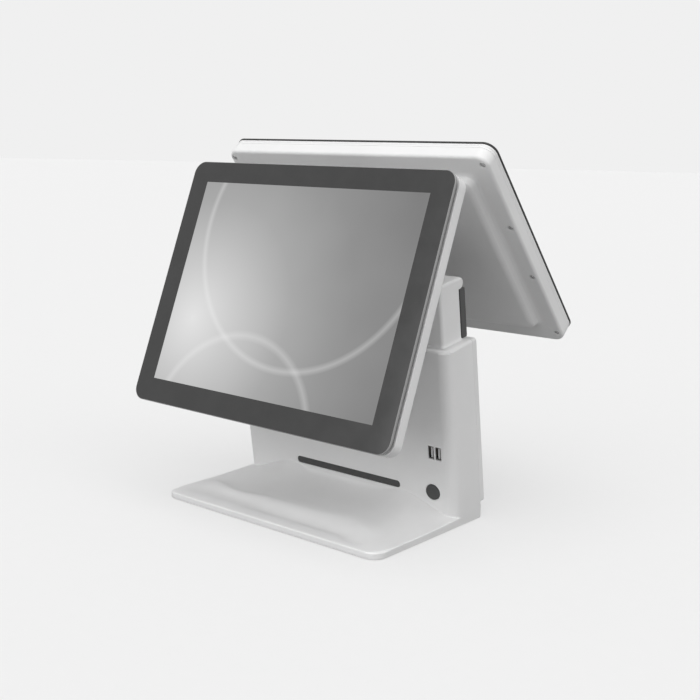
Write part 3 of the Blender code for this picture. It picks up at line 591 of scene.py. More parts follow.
def base_height(x, y):
    """Top of the base: a flat lip, a shallow groove, a raised pad and a sweep up to the column."""
    across = abs(x)
    crest = crest_line(x) + 0.01
    foot = PAD_FOOT - 0.012 * smooth(x, 0.08, 0.115)
    behind = np.maximum(0, y - crest)
    crisp = 1 - np.exp(-behind / 0.009)
    soft = smooth(behind, 0, 0.04)
    hollow = crisp + (soft - crisp) * smooth(x, -0.07, 0)
    groove = FOOT_GROOVE * (1 - 0.6 * smooth(-x, 0.02, 0.07))
    height = PAD_RISE * smooth(y, foot, crest) - PAD_HOLLOW * hollow
    height = height - groove * np.exp(-(((y - foot + 0.006) / 0.0085) ** 2))
    fade = (1 - smooth(x, 0.092, 0.126)) * (1 - smooth(-x, 0.118, 0.148))
    pad = LIP_TOP + height * fade
    top = SWEEP_TOP - 0.0215 * smooth(across, 0.076, 0.148) - 0.0085 * (1 - smooth(across, 0.04, 0.08))
    end = SWEEP_END + corner_drop(across, HALF_WIDTH, COLUMN_CORNER)
    climb = np.clip((y - SWEEP_START) / (end - SWEEP_START), 0, 1.03)
    return pad + (top - pad) * climb ** (4.6 - 2.9 * smooth(across, 0.06, 0.11))


def column_point(depth, height):
    """Side view (y, z) of a place in the leaning column."""
    y = FOOT_Y + depth * cos(LEAN) - height * sin(LEAN)
    z = FOOT_Z + depth * sin(LEAN) + height * cos(LEAN)
    return y, z


def blurred(values, kernel):
    """Weighted running mean of evenly spaced values, mirrored past both ends."""
    reach = len(kernel) // 2
    before = 2 * values[0] - values[reach:0:-1]
    after = 2 * values[-1] - values[-2:-reach - 2:-1]
    return np.convolve(np.concatenate((before, values, after)), kernel, "valid")


def crease_height(x, face):
    """How high up the column's front the base's top meets it, found by halving."""
    low, high = -0.01, 0.08
    for _ in range(40):
        middle = (low + high) / 2
        y, z = column_point(face, middle)
        if z < base_height(x, y) - edge_drop(HALF_WIDTH - abs(x), LIP_ROUND):
            low = middle
        else:
            high = middle
    return (low + high) / 2


def fillet_curve(x, front, face):
    """The base's top and the column's front at this x as one line with a soft inner corner."""
    across = abs(x)
    meeting = crease_height(x, face)
    floor_y = np.linspace(front + 0.004, column_point(face, meeting)[0], 500)
    floor_z = base_height(x, floor_y) - rim_drop(across, floor_y, front, BASE_CORNER, LIP_ROUND)
    wall_y, wall_z = column_point(face, np.linspace(meeting, COLUMN_TOP - 0.006, 500)[1:])
    ys = np.concatenate((floor_y, wall_y))
    zs = np.concatenate((floor_z, wall_z))
    along = np.concatenate(((0,), np.cumsum(np.hypot(np.diff(ys), np.diff(zs)))))
    crease = along[len(floor_y) - 1]
    spread = 0.0009 + 0.0031 * (1 - float(smooth(across, 0.04, 0.08)))
    step = 0.0004
    even = np.arange(0, along[-1], step)
    reach = max(3, int(3 * spread / step))
    kernel = np.exp(-0.5 * (np.arange(-reach, reach + 1) * step / spread) ** 2)
    kernel /= kernel.sum()
    near = smooth(np.abs(even - crease), 0.06, 0.04)
    before = crease * (1 - (1 - np.linspace(0, 1, 46)) ** 1.35)
    after = crease + (along[-1] - crease) * np.linspace(0, 1, 42)[1:] ** 1.8
    lines = []
    for line in (np.interp(even, along, ys), np.interp(even, along, zs)):
        line = line + (blurred(line, kernel) - line) * near
        lines.append(np.interp(np.concatenate((before, after)), even, line))
    return zip(*lines)


def stand_slice(x):
    """Side outline (y, z) of the stand's moulding at this x, before it is hollowed."""
    across = abs(x)
    front = -HALF_DEPTH + corner_drop(across, HALF_WIDTH, BASE_CORNER)
    face = COLUMN_FACE + corner_drop(across, HALF_WIDTH, COLUMN_CORNER)
    back = HALF_DEPTH - corner_drop(across, HALF_WIDTH, HEEL_CORNER)
    points = [(front + out, RIM_BOTTOM + up) for out, up in ((0.0012, 0), (0.0003, 0.0003), (0, 0.0012))]
    lip_y = front + 0.004 * quarter_steps(9)[:-1]
    lip_z = base_height(x, lip_y) - rim_drop(across, lip_y, front, BASE_CORNER, LIP_ROUND)
    points += zip(lip_y, lip_z)
    points += fillet_curve(x, front, face)
    depths = np.concatenate((face + 0.006 * quarter_steps(11), np.linspace(face + 0.006, COVER_SPLIT, 5)[1:]))
    ledge = COLUMN_TOP - rim_drop(across, depths, face, COLUMN_CORNER, LEDGE_ROUND)
    points += [column_point(depth, height) for depth, height in zip(depths, ledge)]
    heel = (HEEL_TOP - FOOT_Z - COVER_SPLIT * sin(LEAN)) / cos(LEAN)
    points += [column_point(COVER_SPLIT, height) for height in (0.12, 0.06, heel)]
    start = max(column_point(COVER_SPLIT, heel)[0] + 0.00005, back - HEEL_ROUND)
    heel_y = start + (back - start) * np.sin(np.radians(np.linspace(0, 90, 7)))
    heel_z = HEEL_TOP - rim_drop(across, -heel_y, -HALF_DEPTH, HEEL_CORNER, HEEL_ROUND)
    points += zip(heel_y, heel_z)
    points += [(back, RIM_BOTTOM + 0.0008), (back - 0.0008, RIM_BOTTOM)]
    return points


def stand_stations():
    """Where the stand is sliced: even steps in the middle, close ones round the corners."""
    stations = set(np.round(np.linspace(0, 0.132, 34), 6))
    for radius in (BASE_CORNER, COLUMN_CORNER, HEEL_CORNER, LEDGE_ROUND, LIP_ROUND):
        stations.update(np.round(HALF_WIDTH - radius * quarter_steps(11), 6))
    kept = []
    for value in sorted(stations):
        if not kept or value - kept[-1] > 0.00004:
            kept.append(value)
    kept[-1] = HALF_WIDTH
    return [-value for value in reversed(kept[1:])] + kept


def stand_body(bm):
    skin(bm, [[bm.verts.new((x, y, z)) for y, z in stand_slice(x)] for x in stand_stations()])


def base_cavity(bm):
    """Hollow under the base's top."""
    end = 0.06
    bottom = -0.005
    rows = []
    for x in np.linspace(-(HALF_WIDTH - WALL), HALF_WIDTH - WALL, 25):
        front = -HALF_DEPTH + WALL + corner_drop(abs(x), HALF_WIDTH - WALL, BASE_CORNER - WALL)
        line = [(y, float(base_height(x, y)) - WALL - 0.0004) for y in np.linspace(front, end, 26)]
        rows.append([bm.verts.new((x, y, z)) for y, z in [(front, bottom), *line, (end, bottom)]])
    skin(bm, rows)


def stand_openings(bm):
    """Holes for the front sockets and the button, and the label strip's recess."""
    outside = COLUMN_FACE - 0.005
    for x in USB_X:
        half = (USB_HALF[0] + GAP, USB_HALF[1] + GAP)
        slab(bm, (x, USB_HEIGHT), half, outside, COLUMN_FACE + 0.005, 0.0005, 3)
    ring = BUTTON_RADIUS + GAP
    profile = ((ring + 0.0012, -0.004), (ring + 0.0005, -0.0001), (ring, 0.0005), (ring, 0.005))
    lathe(bm, profile, "Y", BUTTON, 64, COLUMN_FACE)
    half = (STRIP_HALF[0] + GAP, STRIP_HALF[1] + GAP)
    slab(bm, STRIP, half, outside, COLUMN_FACE + 0.0012, 0.0036, 10)


def stand_shell():
    """White moulding of the base and the column's front, hollowed for the computer."""
    shell = new_piece("stand_moulding", TERMINAL, stand_body)
    inner = HALF_WIDTH - WALL
    boolean(shell, block, (-inner, COLUMN_FACE + WALL, 0), (inner, COVER_SPLIT + 0.0002, COLUMN_TOP - WALL),
            COLUMN_CORNER - WALL, place=COLUMN)
    boolean(shell, base_cavity)
    boolean(shell, block, (-inner, 0.05, -0.006), (inner, HALF_DEPTH - WALL, HEEL_TOP - WALL))
    boolean(shell, stand_openings, place=COLUMN)
    top = COLUMN_TOP - 0.0015
    boolean(shell, slab, (0, top), (0.065, 0.0065), -0.012, 0.01, place=COLUMN)
    finish_piece(shell, "stand", "stand_shell", [WHITE])


# ---- rear cover, neck and its panel
def rear_cover():
    """White cover of the column's back, with two rows of vents and the socket window."""
    half = (HALF_WIDTH, (COLUMN_TOP - COVER_BOTTOM) / 2)
    front = COVER_SPLIT + GAP
    sections = [inside(half, WALL, 0.002, COLUMN_BACK - WALL), inside(half, WALL, 0.002, front),
                inside(half, 0.0002, 0.003, front), (*half, 0.003, front + 0.0002)]
    sections += rounded_edge(half, 0.003, 0.6, COLUMN_BACK - COVER_ROUND, COVER_ROUND, 0, 10)
    cover = new_piece("rear_cover", COLUMN, loft, sections, 10, (0, (COVER_BOTTOM + COLUMN_TOP) / 2))

    def openings(bm):
        slab(bm, (0, IO_HEIGHT), IO_WINDOW_HALF, 0.015, 0.04, 0.004, 8)
        for side in (-1, 1):
            for number in range(8):
                slab(bm, (side * (0.036 + 0.009 * number), 0.133), (0.0015, 0.021), 0.015, 0.04, 0.0014, 5)

    boolean(cover, openings)
    finish_piece(cover, "stand", "column_rear_cover", [WHITE])


def neck_sections():
    """Level sections: straight sides, a rounded shoulder and a roll along the top rear edge."""
    bottom = COLUMN_TOP + GAP
    roll_y, roll_z = NECK_BACK + 0.0026, NECK_TOP - NECK_ROLL
    heights = [*np.linspace(bottom + 0.004, NECK_TOP - 0.018, 6), roll_z - NECK_ROLL - 0.0002]
    for angle in (-78, -68, -56, -42, -28, -14, 0, 10, 20, 30, 40, 50, 60, 70, 78, 84, 88):
        heights.append(roll_z + NECK_ROLL * sin(radians(angle)))
    flares = ((0, 0.0022), (0.0005, 0.0013), (0.0012, 0.0006), (0.0024, 0.0001))
    levels = [(bottom + up, flare) for up, flare in flares]
    levels += [(height, 0) for height in sorted(heights)]
    sections = []
    for height, flare in levels:
        front = NECK_FRONT - flare + corner_drop(height, NECK_TOP, NECK_SHOULDER)
        back = NECK_BACK + flare * 0.1
        if abs(height - roll_z) < NECK_ROLL:
            back = roll_y + sqrt(NECK_ROLL**2 - (height - roll_z) ** 2)
        half_width = NECK_HALF_WIDTH + flare - corner_drop(height, NECK_TOP, NECK_SIDE_ROUND)
        half_depth = (back - front) / 2
        middle = (0, (front + back) / 2)
        sections.append((half_width, half_depth, min(0.0035, half_depth * 0.98), height, middle))
    return sections


def ear_slots(bm, *slots):
    """Slots that let the bracket's two ears through, from (axis, lowest depth, highest depth)."""
    for axis, low, high in slots:
        block_pair(bm, EAR_INNER - 0.0004, EAR_OUTER + 0.0004, axis.z, 0.0084, low, high, 0.0012)


def neck():
    shell = new_piece("neck_moulding", COLUMN, loft, neck_sections(), 8, axis="Z")
    half = NECK_HALF_WIDTH - WALL
    boolean(shell, block, (-half, NECK_FRONT + WALL, COLUMN_TOP - 0.01), (half, NECK_BACK - WALL, 0.252))
    boolean(shell, ear_slots, (FRONT_AXIS, -0.035, 0), (REAR_AXIS, 0, 0.035))
    finish_piece(shell, "stand", "neck_shell", [WHITE])


def neck_panel():
    """Dark closing panel behind the neck, with a shadow step towards the white shell."""
    low = COLUMN_TOP + GAP
    high = NECK_TOP - 2 * NECK_ROLL - 0.0006
    middle = (low + high) / 2
    half = (NECK_HALF_WIDTH - 0.001, (high - low) / 2)
    front = NECK_BACK + GAP
    sections = [(half[0] - 0.0016, half[1] - 0.0002, 0.0012, front),
                (half[0] - 0.0016, half[1] - 0.0002, 0.0012, front + 0.001),
                (half[0] - 0.0003, half[1], 0.0012, front + 0.0012),
                (half[0], half[1], 0.0012, front + 0.0016)]
    sections += rounded_edge(half, 0.0012, 1, PANEL_BACK - PANEL_ROUND, PANEL_ROUND, 0, 6)
    panel = new_piece("neck_panel", COLUMN, loft, sections, 8, (0, middle))

    def grooves(bm):
        for level in (-0.0135, -0.0045, 0.0045, 0.0135):
            depths = (PANEL_BACK - 0.0008, PANEL_BACK + 0.002)
            block_pair(bm, 0.064, 0.13, middle + level, 0.0006, *depths, 0.0005, 3)

    boolean(panel, grooves)
    boolean(panel, ear_slots, (REAR_AXIS, 0.01, 0.035))
    finish_piece(panel, "stand", "neck_rear_panel", [SOFT_DARK])


# ---- controls and sockets on the front
def label_strip():
    sections = [(*STRIP_HALF, 0.0035, COLUMN_FACE + 0.0009)]
    sections += rounded_edge(STRIP_HALF, 0.0035, -1, COLUMN_FACE + 0.0003, STRIP_ROUND, 180, 5)
    strip = new_piece("blank_label_strip", COLUMN, loft, sections, 12, STRIP)
    finish_piece(strip, "stand", "label_strip", [DARK])


def power_button():
    """Round key with a shallow dish, a soft rim and the flange that keeps it in the wall."""
    rim = BUTTON_RADIUS
    profile = ((0, -0.0004), (0.003, -0.00043), (0.0055, -0.00055), (0.0068, -0.0007),
               (rim - 0.0007, -0.0008), (rim - 0.0002, -0.0006), (rim, -0.0001), (rim, 0.0033),
               (rim + 0.0018, 0.0033), (rim + 0.0018, 0.0048), (rim, 0.0048), (rim, 0.0082),
               (rim - 0.0003, 0.0085), (0, 0.0085))
    place = COLUMN @ shift((BUTTON[0], COLUMN_FACE, BUTTON[1]))
    button = new_piece("power_key", place, lathe, profile, segments=72)
    finish_piece(button, "power_button", "power_button", [DARK])


def front_usb(bm):
    """Upright socket: a thin metal sleeve, a dark floor, and a light tongue with four contacts."""
    wall = 0.0004
    back = 0.0165
    sleeve = [inside(USB_HALF, wall, 0.0002, back - 0.0006), inside(USB_HALF, wall, 0.0002, GAP + 0.0001),
              inside(USB_HALF, wall / 2, 0.00032, GAP)]
    sleeve += [(*USB_HALF, wall, depth) for depth in (GAP + 0.0001, back)]
    painted(bm, METAL_FACE, loft, sleeve, 4)
    painted(bm, BLACK_FACE, loft, [inside(USB_HALF, wall, 0.0002, depth) for depth in (0.0095, 0.011)], 2)
    painted(bm, LIGHT_FACE, slab, (0.0004, 0), (0.001, 0.0056), 0.0012, 0.01, 0.0003, 3)
    for level in (-0.0039, -0.0013, 0.0013, 0.0039):
        painted(bm, GOLD_FACE, slab, (-0.00065, level), (0.00015, 0.0005), 0.002, 0.0096)


# ---- sockets at the back
def centred(count, pitch):
    """Places at a pitch, centred on 0."""
    return [(number - (count - 1) / 2) * pitch for number in range(count)]


def open_box(bm, level, outer, mouth, depth, index):
    """Box with a dark rectangular mouth at the back; outer and mouth are half sizes."""
    sections = [(*mouth, 0.0003, -depth), (*mouth, 0.0003, -0.0002), inside(mouth, -0.0002, 0.0004, 0),
                inside(outer, 0.0003, 0.0005, 0), (*outer, 0.0006, -0.0003), (*outer, 0.0006, PORT_FRONT)]
    painted(bm, index, loft, sections, 4, (0, level))
    for face in bm.faces:
        x, y, z = face.calc_center_median()
        beside = max(abs(x) - mouth[0], abs(z - level) - mouth[1])
        if PORT_FRONT + 0.0001 < y < -0.0003 and beside < 0.0001:
            face.material_index = BLACK_FACE


def contacts(bm, height, count, pitch, low, high, half):
    """Row of contacts at this height, between two depths."""
    for middle in centred(count, pitch):
        painted(bm, GOLD_FACE, slab, (middle, height), half, low, high)


def d_sub(bm, rows, male):
    """Connector with a D-shaped metal skirt, rows of pins or holes and two hexagon posts."""
    painted(bm, METAL_FACE, slab, (0, 0), (0.0155, 0.00625), PORT_FRONT, -0.0016, 0.0008, 3)
    outline = ((-0.0085, -0.004), (0.0085, -0.004), (0.0095, 0.004), (-0.0095, 0.004))
    loops = []
    for shrink, depth in ((0, -0.0018), (0, -0.0001), (0.0002, 0), (0.0005, 0),
                          (0.0006, -0.0001), (0.0006, -0.0014)):
        loops.append([bm.verts.new((x - copysign(shrink, x), depth, z - copysign(shrink, z)))
                      for x, z in outline])
    for first, second in zip(loops, loops[1:]):
        bridge(bm, first, second)
    bm.faces.new(loops[0])
    bm.faces.new(loops[-1]).material_index = BLACK_FACE
    radius, end, pitch, index = (0.00048, -0.0002, 0.0027, GOLD_FACE) if male else \
        (0.00062, -0.0012, 0.0031, LIGHT_FACE)
    for level, count in zip(centred(len(rows), -0.0024), rows):
        for middle in centred(count, pitch):
            painted(bm, index, lathe, ((radius, -0.0016), (radius, end)), "Y", (middle, level), 10)
    post = ((0, -0.0018), (0.0023, -0.0018), (0.0023, -0.0003), (0.0021, 0), (0.0012, 0),
            (0.0012, -0.0013), (0, -0.0013))
    for x in (-0.0126, 0.0126):
        painted(bm, POST_FACE, lathe, post, "Y", (x, 0), 6)


def power_inlet(bm):
    """Round inlet with a centre pin, on a square body."""
    collar = ((0, -0.0085), (0.0032, -0.0085), (0.0032, -0.0003), (0.0035, 0), (0.0046, 0),
              (0.0049, -0.0004), (0.0049, -0.0088), (0, -0.0088))
    pin = ((0, -0.0086), (0.0007, -0.0086), (0.001, -0.0083), (0.001, -0.0011), (0.0007, -0.0008),
           (0, -0.0008))
    painted(bm, BLACK_FACE, slab, (0, 0), (0.005, 0.0055), PORT_FRONT, -0.0088)
    painted(bm, BLACK_FACE, lathe, collar, "Y", (0, 0), 40)
    painted(bm, METAL_FACE, lathe, pin, "Y", (0, 0), 20)


def network_socket(bm):
    open_box(bm, 0, (0.008, 0.00675), (0.0059, 0.0042), 0.0095, METAL_FACE)
    contacts(bm, 0.0036, 8, 0.00102, -0.0085, -0.0012, (0.0002, 0.0005))


def stacked_usb(bm):
    for level in (0.0039, -0.0039):
        open_box(bm, level, (0.00725, 0.0038), (0.0063, 0.0026), 0.0085, METAL_FACE)
    for level in (0.0039, -0.0039):
        painted(bm, LIGHT_FACE, slab, (0, level + 0.00095), (0.0055, 0.00085), -0.0086, -0.001, 0.0003, 3)
        contacts(bm, level + 0.00005, 4, 0.0024, -0.008, -0.0016, (0.0005, 0.00015))


def drawer_socket(bm):
    open_box(bm, 0, (0.0066, 0.006), (0.0049, 0.0035), 0.0095, BLACK_FACE)
    contacts(bm, 0.00295, 6, 0.00102, -0.0085, -0.0012, (0.0002, 0.00045))


def add_socket(name, place, slot, node_name, sharp, shape, *arguments):
    """Socket that is made round the middle of its mouth, and moved to its place in the column."""
    def moved(bm):
        shape(bm, *arguments)
        bmesh.ops.translate(bm, vec=place, verts=bm.verts)

    finish_piece(new_piece(name, COLUMN, moved), "stand", node_name, SOCKET_MATERIALS, sharp)


def sockets():
    """Two upright sockets in the front, and the row behind the rear cover's window."""
    for number, x in enumerate(USB_X, start=1):
        add_socket(f"front_usb_socket_{number}", (x, COLUMN_FACE, USB_HEIGHT), "bright_steel",
                   f"front_usb_port_{number}", 38, front_usb)
    for name, x, node_name, slot, shape, *arguments in (
            ("power_inlet", -0.084, "dc_inlet", "dark_plastic", power_inlet),
            ("video_socket", -0.055, "vga_port", "bright_steel", d_sub, (5, 5, 5), False),
            ("serial_socket", -0.014, "serial_port", "bright_steel", d_sub, (5, 4), True),
            ("network_socket", 0.022, "lan_port", "bright_steel", network_socket),
            ("rear_usb_sockets", 0.048, "rear_usb_port", "bright_steel", stacked_usb),
            ("drawer_socket", 0.074, "drawer_port", "dark_plastic", drawer_socket)):
        add_socket(name, (x, PORT_BACK, IO_HEIGHT), slot, node_name, 30, shape, *arguments)


# ---- feet and hinges
def feet():
    """Round rubber feet with a groove in the sole."""
    profile = ((0, 0.0002), (0.003, 0.0002), (0.0034, 0), (0.0062, 0), (0.0066, 0.0003),
               (0.0072, 0.0003), (0.0076, 0), (0.0094, 0), (0.0099, 0.0003), (0.01, 0.0008),
               (0.01, 0.0017), (0, 0.0017))
    for end, y in (("front", -0.072), ("rear", 0.072)):
        for side, x in (("left", -0.128), ("right", 0.128)):
            place = TERMINAL @ shift((x, y, 0))
            foot = new_piece(f"rubber_foot_{end}_{side}", place, lathe, profile, "Z", segments=56)
            finish_piece(foot, "stand", f"foot_{end}_{side}", [RUBBER])


def hinge_bracket(side, axis, face, direction):
    """Plate on the spine with two ears that hold the shaft; direction is which way they reach."""
    depth, height = axis.y, axis.z
    near = face + direction * GAP
    plate = sorted((near, near + direction * HINGE_PLATE))
    reach = sorted((near + direction * 0.0015, depth))
    bracket = new_piece(f"{side}_tilt_bracket", COLUMN, slab, (0, height - 0.002), (EAR_OUTER, 0.014),
                        *plate, 0.003, 5)

    def eyes(bm):
        for hand in (-1, 1):
            edges = sorted((hand * (EAR_INNER + 0.0001), hand * (EAR_OUTER - 0.0003)))
            bar(bm, BARREL_RADIUS, *edges, (depth, height), 56)

    boolean(bracket, block_pair, EAR_INNER, EAR_OUTER - 0.0002, height, 0.008, *reach, operation="UNION")
    boolean(bracket, eyes, operation="UNION")
    boolean(bracket, bar, BORE_RADIUS, -0.06, 0.06, (depth, height), 40)
    bevel(bracket, 0.0003, 2, 40)
    settle(bracket)
    finish_piece(bracket, "stand", f"{side}_hinge_bracket", [HINGE], 30)


def hinge_shaft(side, axis):
    """Steel pin with a groove near each end."""
    radius = SHAFT_RADIUS
    half = [(radius, 0.0548), (0.0034, 0.0549), (0.0034, 0.0553), (radius, 0.0554), (radius, 0.0565),
            (radius - 0.0005, 0.057), (0, 0.057)]
    profile = [(size, -along) for size, along in reversed(half)] + half
    place = COLUMN @ shift((0, axis.y, axis.z))
    shaft = new_piece(f"{side}_tilt_shaft", place, lathe, profile, "X", segments=48)
    finish_piece(shaft, "stand", f"{side}_hinge_shaft", [BRIGHT])


def hinge_arm(side, place, depth):
    """Barrel on the shaft, joined by a web to the flange on the display's back."""
    front = 0.0145 - depth
    back = front + HINGE_PLATE
    half = BARREL_HALF_LENGTH
    arm = new_piece(f"{side}_tilt_arm", place, slab, (0, 0), (SPINE_HALF_WIDTH, 0.03), front, back, 0.004, 6)
    boolean(arm, slab, (0, 0), (half - 0.0005, 0.005), back - 0.001, -0.002, operation="UNION")
    boolean(arm, bar, BARREL_RADIUS, -half, half, (0, 0), 56, operation="UNION")
    boolean(arm, bar, BORE_RADIUS, -half - 0.003, half + 0.003, (0, 0), 40)
    bevel(arm, 0.0004, 2, 40)
    settle(arm)
    finish_piece(arm, f"{side}_display", f"{side}_hinge_arm", [HINGE], 30)


# ---- displays
def glass_shape(bm):
    """Cover glass with a polished edge, whose front is a border round the picture."""
    sections = []
    for inset, depth in ((0.00095, 0), (0.0007, 0.00012), (0.00012, 0.0007), (0, 0.00095),
                         (0, GLASS_THICKNESS - 0.0003), (0.0003, GLASS_THICKNESS)):
        sections.append(inside((GLASS[0] / 2, GLASS[1] / 2), inset, GLASS_CORNER - inset, depth))
    steps = 20
    rim = loft(bm, sections, steps)[0]
    bm.faces.ensure_lookup_table()
    bm.faces.remove(bm.faces[-2])
    corners = []
    for right, top in ((1, -1), (1, 1), (-1, 1), (-1, -1)):
        corners.append(bm.verts.new((right * SCREEN[0] / 2, 0, SCREEN_RISE + top * SCREEN[1] / 2)))
    for quarter, corner in enumerate(corners):
        last = quarter * (steps + 1) + steps
        for i in range(last - steps, last):
            bm.faces.new((rim[i], rim[i + 1], corner))
        bm.faces.new((rim[last], rim[(last + 1) % len(rim)], corners[(quarter + 1) % 4], corner))
    bm.faces.new(corners).material_index = 1
    for face in bm.faces:
        if max(vert.co.y for vert in face.verts) > 0.0004:
            face.material_index = 2


def display_glass(side, place, node_name, materials):
    """Materials are those of the border, the picture and the edge."""
    glass = new_piece(f"{side}_screen_glass", place, glass_shape)
    finish_piece(glass, f"{side}_display", node_name, materials)


def bezel_shape(bm, split, groove):
    """Ring behind the glass: a flush rim, then a shadow groove towards the housing."""
    front = GLASS_THICKNESS + 0.0001
    sections = []
    for inset, cut, depth in (
            (0.0002, 0, front), (0, 0, front + 0.0002), (0, 0, split - 0.0002), (0.0002, 0, split),
            (groove, groove, split + 0.0001), (groove, groove, FRAME_BACK)):
        sections.append(inside(HOUSING_HALF, inset, HOUSING_CORNER - cut, depth))
    for depth in (FRAME_BACK, front):
        sections.append((LCD[0] / 2 + 0.0015, LCD[1] / 2 + 0.0015, 0.001, depth))
    loft(bm, sections, 16, closed=True)
    for face in bm.faces:
        face.material_index = int(face.calc_center_median().y > split - 0.00005)


def bezel_frame(side, place, materials, split, groove):
    """Materials are those of the rim and of the groove."""
    ring = new_piece(f"{side}_bezel", place, bezel_shape, split, groove)
    finish_piece(ring, f"{side}_display", f"{side}_bezel_frame", materials)


def bent(start, control, end, steps):
    """Points on a curve that leaves start and reaches end along the lines through control."""
    shares = np.linspace(0, 1, steps + 1)
    lines = [(1 - shares) ** 2 * a + 2 * shares * (1 - shares) * b + shares**2 * c
             for a, b, c in zip(start, control, end)]
    return zip(*lines)


def housing_sections():
    """Sections from the hollow, round the front rim and over the back to the raised field."""
    front = FRAME_BACK + GAP
    wall = HOUSING_WALL
    corner = HOUSING_CORNER
    shapes = [(FIELD, FIELD_SLOPE + wall, 0.006, FIELD_BACK - wall),
              (FIELD, wall, 0.006, FLANGE_BACK - wall),
              (HOUSING_HALF, wall, corner - wall, FLANGE_BACK - wall),
              (HOUSING_HALF, wall, corner - wall, front),
              (HOUSING_HALF, 0.0003, corner, front), (HOUSING_HALF, 0, corner, front + 0.0003)]
    for inset, depth in arc_points((HOUSING_ROUND, FLANGE_BACK - HOUSING_ROUND), HOUSING_ROUND, 180, 90, 8):
        shapes.append((HOUSING_HALF, inset, corner - inset, depth))
    for inset, depth in bent((-0.0035, FLANGE_BACK), (0, FLANGE_BACK), (0.0022, FLANGE_BACK + 0.0021), 6):
        shapes.append((FIELD, inset, 0.01 - inset * 0.2, depth))
    crest = (FIELD_SLOPE, FIELD_BACK)
    for inset, depth in bent((crest[0] - 0.0032, crest[1] - 0.0031), crest, (crest[0] + 0.0045, crest[1]), 8):
        shapes.append((FIELD, inset, 0.009, depth))
    return [inside(*shape) for shape in shapes]


def display_housing(side, place, hinge_height):
    """White housing with screw recesses and the opening for the hinge arm."""
    housing = new_piece(f"{side}_housing", place, loft, housing_sections(), 18)
    recess = ((0, -0.0016), (0.0031, -0.0016), (0.0032, -0.0004), (0.0038, 0.0001), (0.0038, 0.003),
              (0, 0.003))

    def at_screws(bm, profile, segments):
        for screw_place in SCREW_PLACES:
            lathe(bm, profile, "Y", screw_place, segments, FLANGE_BACK)

    def openings(bm):
        at_screws(bm, ((0.0018, -0.005), (0.0018, -0.001)), 20)
        half = (BARREL_HALF_LENGTH + 0.002, 0.0075)
        slab(bm, (0, hinge_height), half, FIELD_BACK - 0.008, FIELD_BACK + 0.004, 0.003, 8)

    boolean(housing, at_screws, recess, 36)
    boolean(housing, openings)
    finish_piece(housing, f"{side}_display", f"{side}_display_housing", [WHITE])


def housing_screws(side, place):
    """Eight cross-head screws, each turned a little further than the last."""
    back = FLANGE_BACK - 0.0002
    end = FRAME_BACK - 0.0025 - back
    profile = ((0, 0), (0.0014, -0.00002), (0.0021, -0.0001), (0.0025, -0.0003), (0.0027, -0.0006),
               (0.0027, -0.0011), (0.0015, -0.0011), (0.0015, end), (0, end))
    pattern = new_piece("screw_pattern", Matrix.Identity(4), lathe, profile, segments=32, start=back)
    for half in ((0.0016, 0.0003), (0.0003, 0.0016)):
        boolean(pattern, slab, (0, 0), half, back - 0.0007, back + 0.001)
    for number, (x, z) in enumerate(SCREW_PLACES, start=1):
        turn = Matrix.Rotation(radians(37 * number), 4, "Y")
        screw = new_object(f"{side}_housing_screw_{number}", pattern.data.copy(),
                           place @ shift((x, 0, z)) @ turn)
        finish_piece(screw, f"{side}_display", f"{side}_screw_{number}", [BRIGHT], 30)
    discard(pattern)


# ---- frame nodes that keep their shape
def dress_frame_nodes():
    for material, names in (
            (STEEL, "ballast_plate io_panel spine_bracket front_mount_plate rear_mount_plate"),
            (BOARD, "power_switch motherboard memory_module front_driver_board rear_driver_board"),
            (ALUMINIUM, "cpu_heatsink solid_state_drive"), (PANEL_GREY, "front_lcd_panel rear_lcd_panel")):
        for name in names.split():
            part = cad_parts[name]
            for slot in part.material_slots:
                slot.material = material
            bevel(part, 0.0003, 1, 50)


# ---- camera, floor and light
def camera():
    data = bpy.data.cameras.new("camera")
    data.lens = CAMERA_LENS
    data.sensor_width = 36.0
    data.shift_x, data.shift_y = CAMERA_SHIFT
    data.clip_start = 0.02
    data.clip_end = 60.0
    forward = (CAMERA_TARGET - CAMERA_PLACE).normalized()
    right = forward.cross(Vector((0, 0, 1))).normalized()
    right = right * cos(CAMERA_ROLL) + right.cross(forward) * sin(CAMERA_ROLL)
    axes = Matrix((right, right.cross(forward), -forward)).transposed().to_4x4()
    bpy.context.scene.camera = new_object("camera", data, shift(CAMERA_PLACE) @ axes)


def floor_rings(bm):
    rings = []
    for radius in (0.6, 1.6, 4.0, 12.0, 30.0):
        rings.append([bm.verts.new((x, y, 0)) for x, y in arc_points((0, 0), radius, 0, 360, 64)[:-1]])
    for first, second in zip(rings, rings[1:]):
        bridge(bm, first, second)
    bm.faces.new(rings[0])


def floor():
    """Wide pale floor that the camera sees lighter than it lights the object."""
    made = new_piece("studio_floor", shift((0, 0, -0.00002)), floor_rings)
    material, coords = new_material("floor_paint")
    seen = node(coords, "LightPath").outputs["Is Camera Ray"]
    made.data.materials.append(shaded(material, {
        "Base Color": ramp(noise(coords, 60.0, 5.0), ((0.3, 0.328), (0.7, 0.332))),
        "Emission Strength": math_node("MULTIPLY", seen, FLOOR_GLOW),
        "Emission Color": WHITE_LIGHT,
        "Roughness": 0.9,
        "Specular IOR Level": 0.1}))


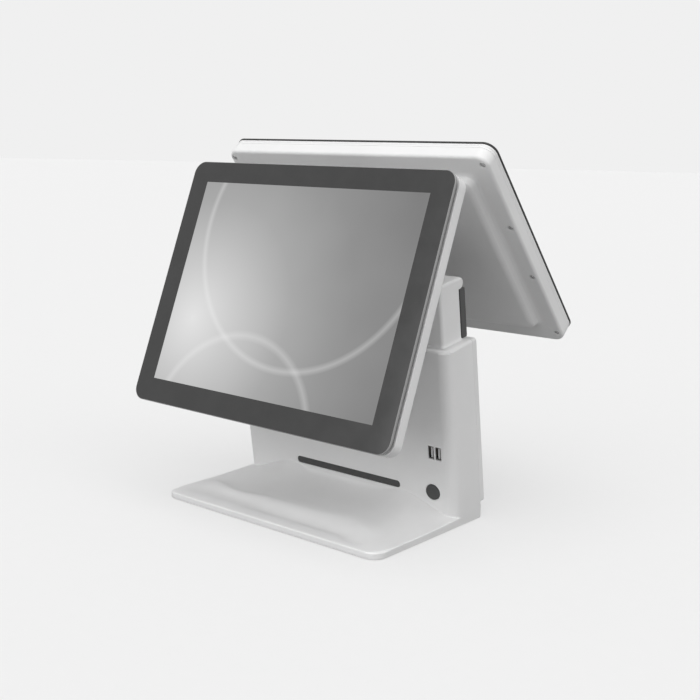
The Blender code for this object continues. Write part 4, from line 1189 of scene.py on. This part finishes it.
def sun(name, strength, angle, azimuth, elevation):
    """Soft distant light that comes from this azimuth (0 is the front, 90 the right) and elevation."""
    data = bpy.data.lights.new(name, "SUN")
    data.energy = strength
    data.angle = radians(angle)
    a, e = radians(azimuth), radians(elevation)
    source = Vector((sin(a) * cos(e), -cos(a) * cos(e), sin(e)))
    new_object(name, data, source.to_track_quat("Z", "Y").to_matrix().to_4x4())


def studio():
    """Pale surroundings, three soft suns and the floor."""
    world = bpy.data.worlds.new("studio")
    bpy.context.scene.world = world
    world.use_nodes = True
    tree = world.node_tree
    background = tree.nodes["Background"]
    feed(background, {"Color": WHITE_LIGHT, "Strength": WORLD_LIGHT})
    backdrop = node(tree, "Background", {"Color": WHITE_LIGHT, "Strength": BACKDROP_LIGHT})
    seen = node(tree, "LightPath").outputs["Is Camera Ray"]
    mixed = node(tree, "MixShader", {"Fac": seen, 1: background.outputs[0], 2: backdrop.outputs[0]})
    feed(tree.nodes["World Output"], {"Surface": mixed.outputs[0]})
    sun("top_light", 1.24, 70.0, 30.0, 68.0)
    sun("right_light", 0.42, 50.0, 95.0, 30.0)
    sun("front_light", 1.05, 60.0, -5.0, 22.0)
    bpy.context.scene.view_settings.view_transform = "Standard"
    floor()


# ---- the terminal
camera()
studio()
stand_shell()
rear_cover()
neck()
neck_panel()
label_strip()
power_button()
sockets()
feet()
hinge_bracket("front", FRONT_AXIS, 0, -1)
hinge_bracket("rear", REAR_AXIS, 0.003, 1)
hinge_shaft("front", FRONT_AXIS)
hinge_shaft("rear", REAR_AXIS)
for display, glass_place, arm_place, (arm_depth, arm_height) in (
        ("front", FRONT_GLASS, FRONT_HINGE, FRONT_HINGE_PLACE),
        ("rear", REAR_GLASS, REAR_HINGE, REAR_HINGE_PLACE)):
    hinge_arm(display, arm_place, arm_depth)
    display_housing(display, glass_place, arm_height)
    housing_screws(display, glass_place)
# The front glass edge and the front bezel rim carry the painted reflection; the rear ones do not
display_glass("front", FRONT_GLASS, "front_touch_glass", [BORDER, SCREEN_ON, PAINTED_REFLECTION_EDGE])
display_glass("rear", REAR_GLASS, "rear_cover_glass", [REAR_BORDER, SCREEN_OFF, DARK_EDGE])
bezel_frame("front", FRONT_GLASS, [PAINTED_REFLECTION_EDGE, DARK_EDGE], 0.0042, 0.0028)
bezel_frame("rear", REAR_GLASS, [WHITE, WHITE], 0.0055, 0.0003)
dress_frame_nodes()
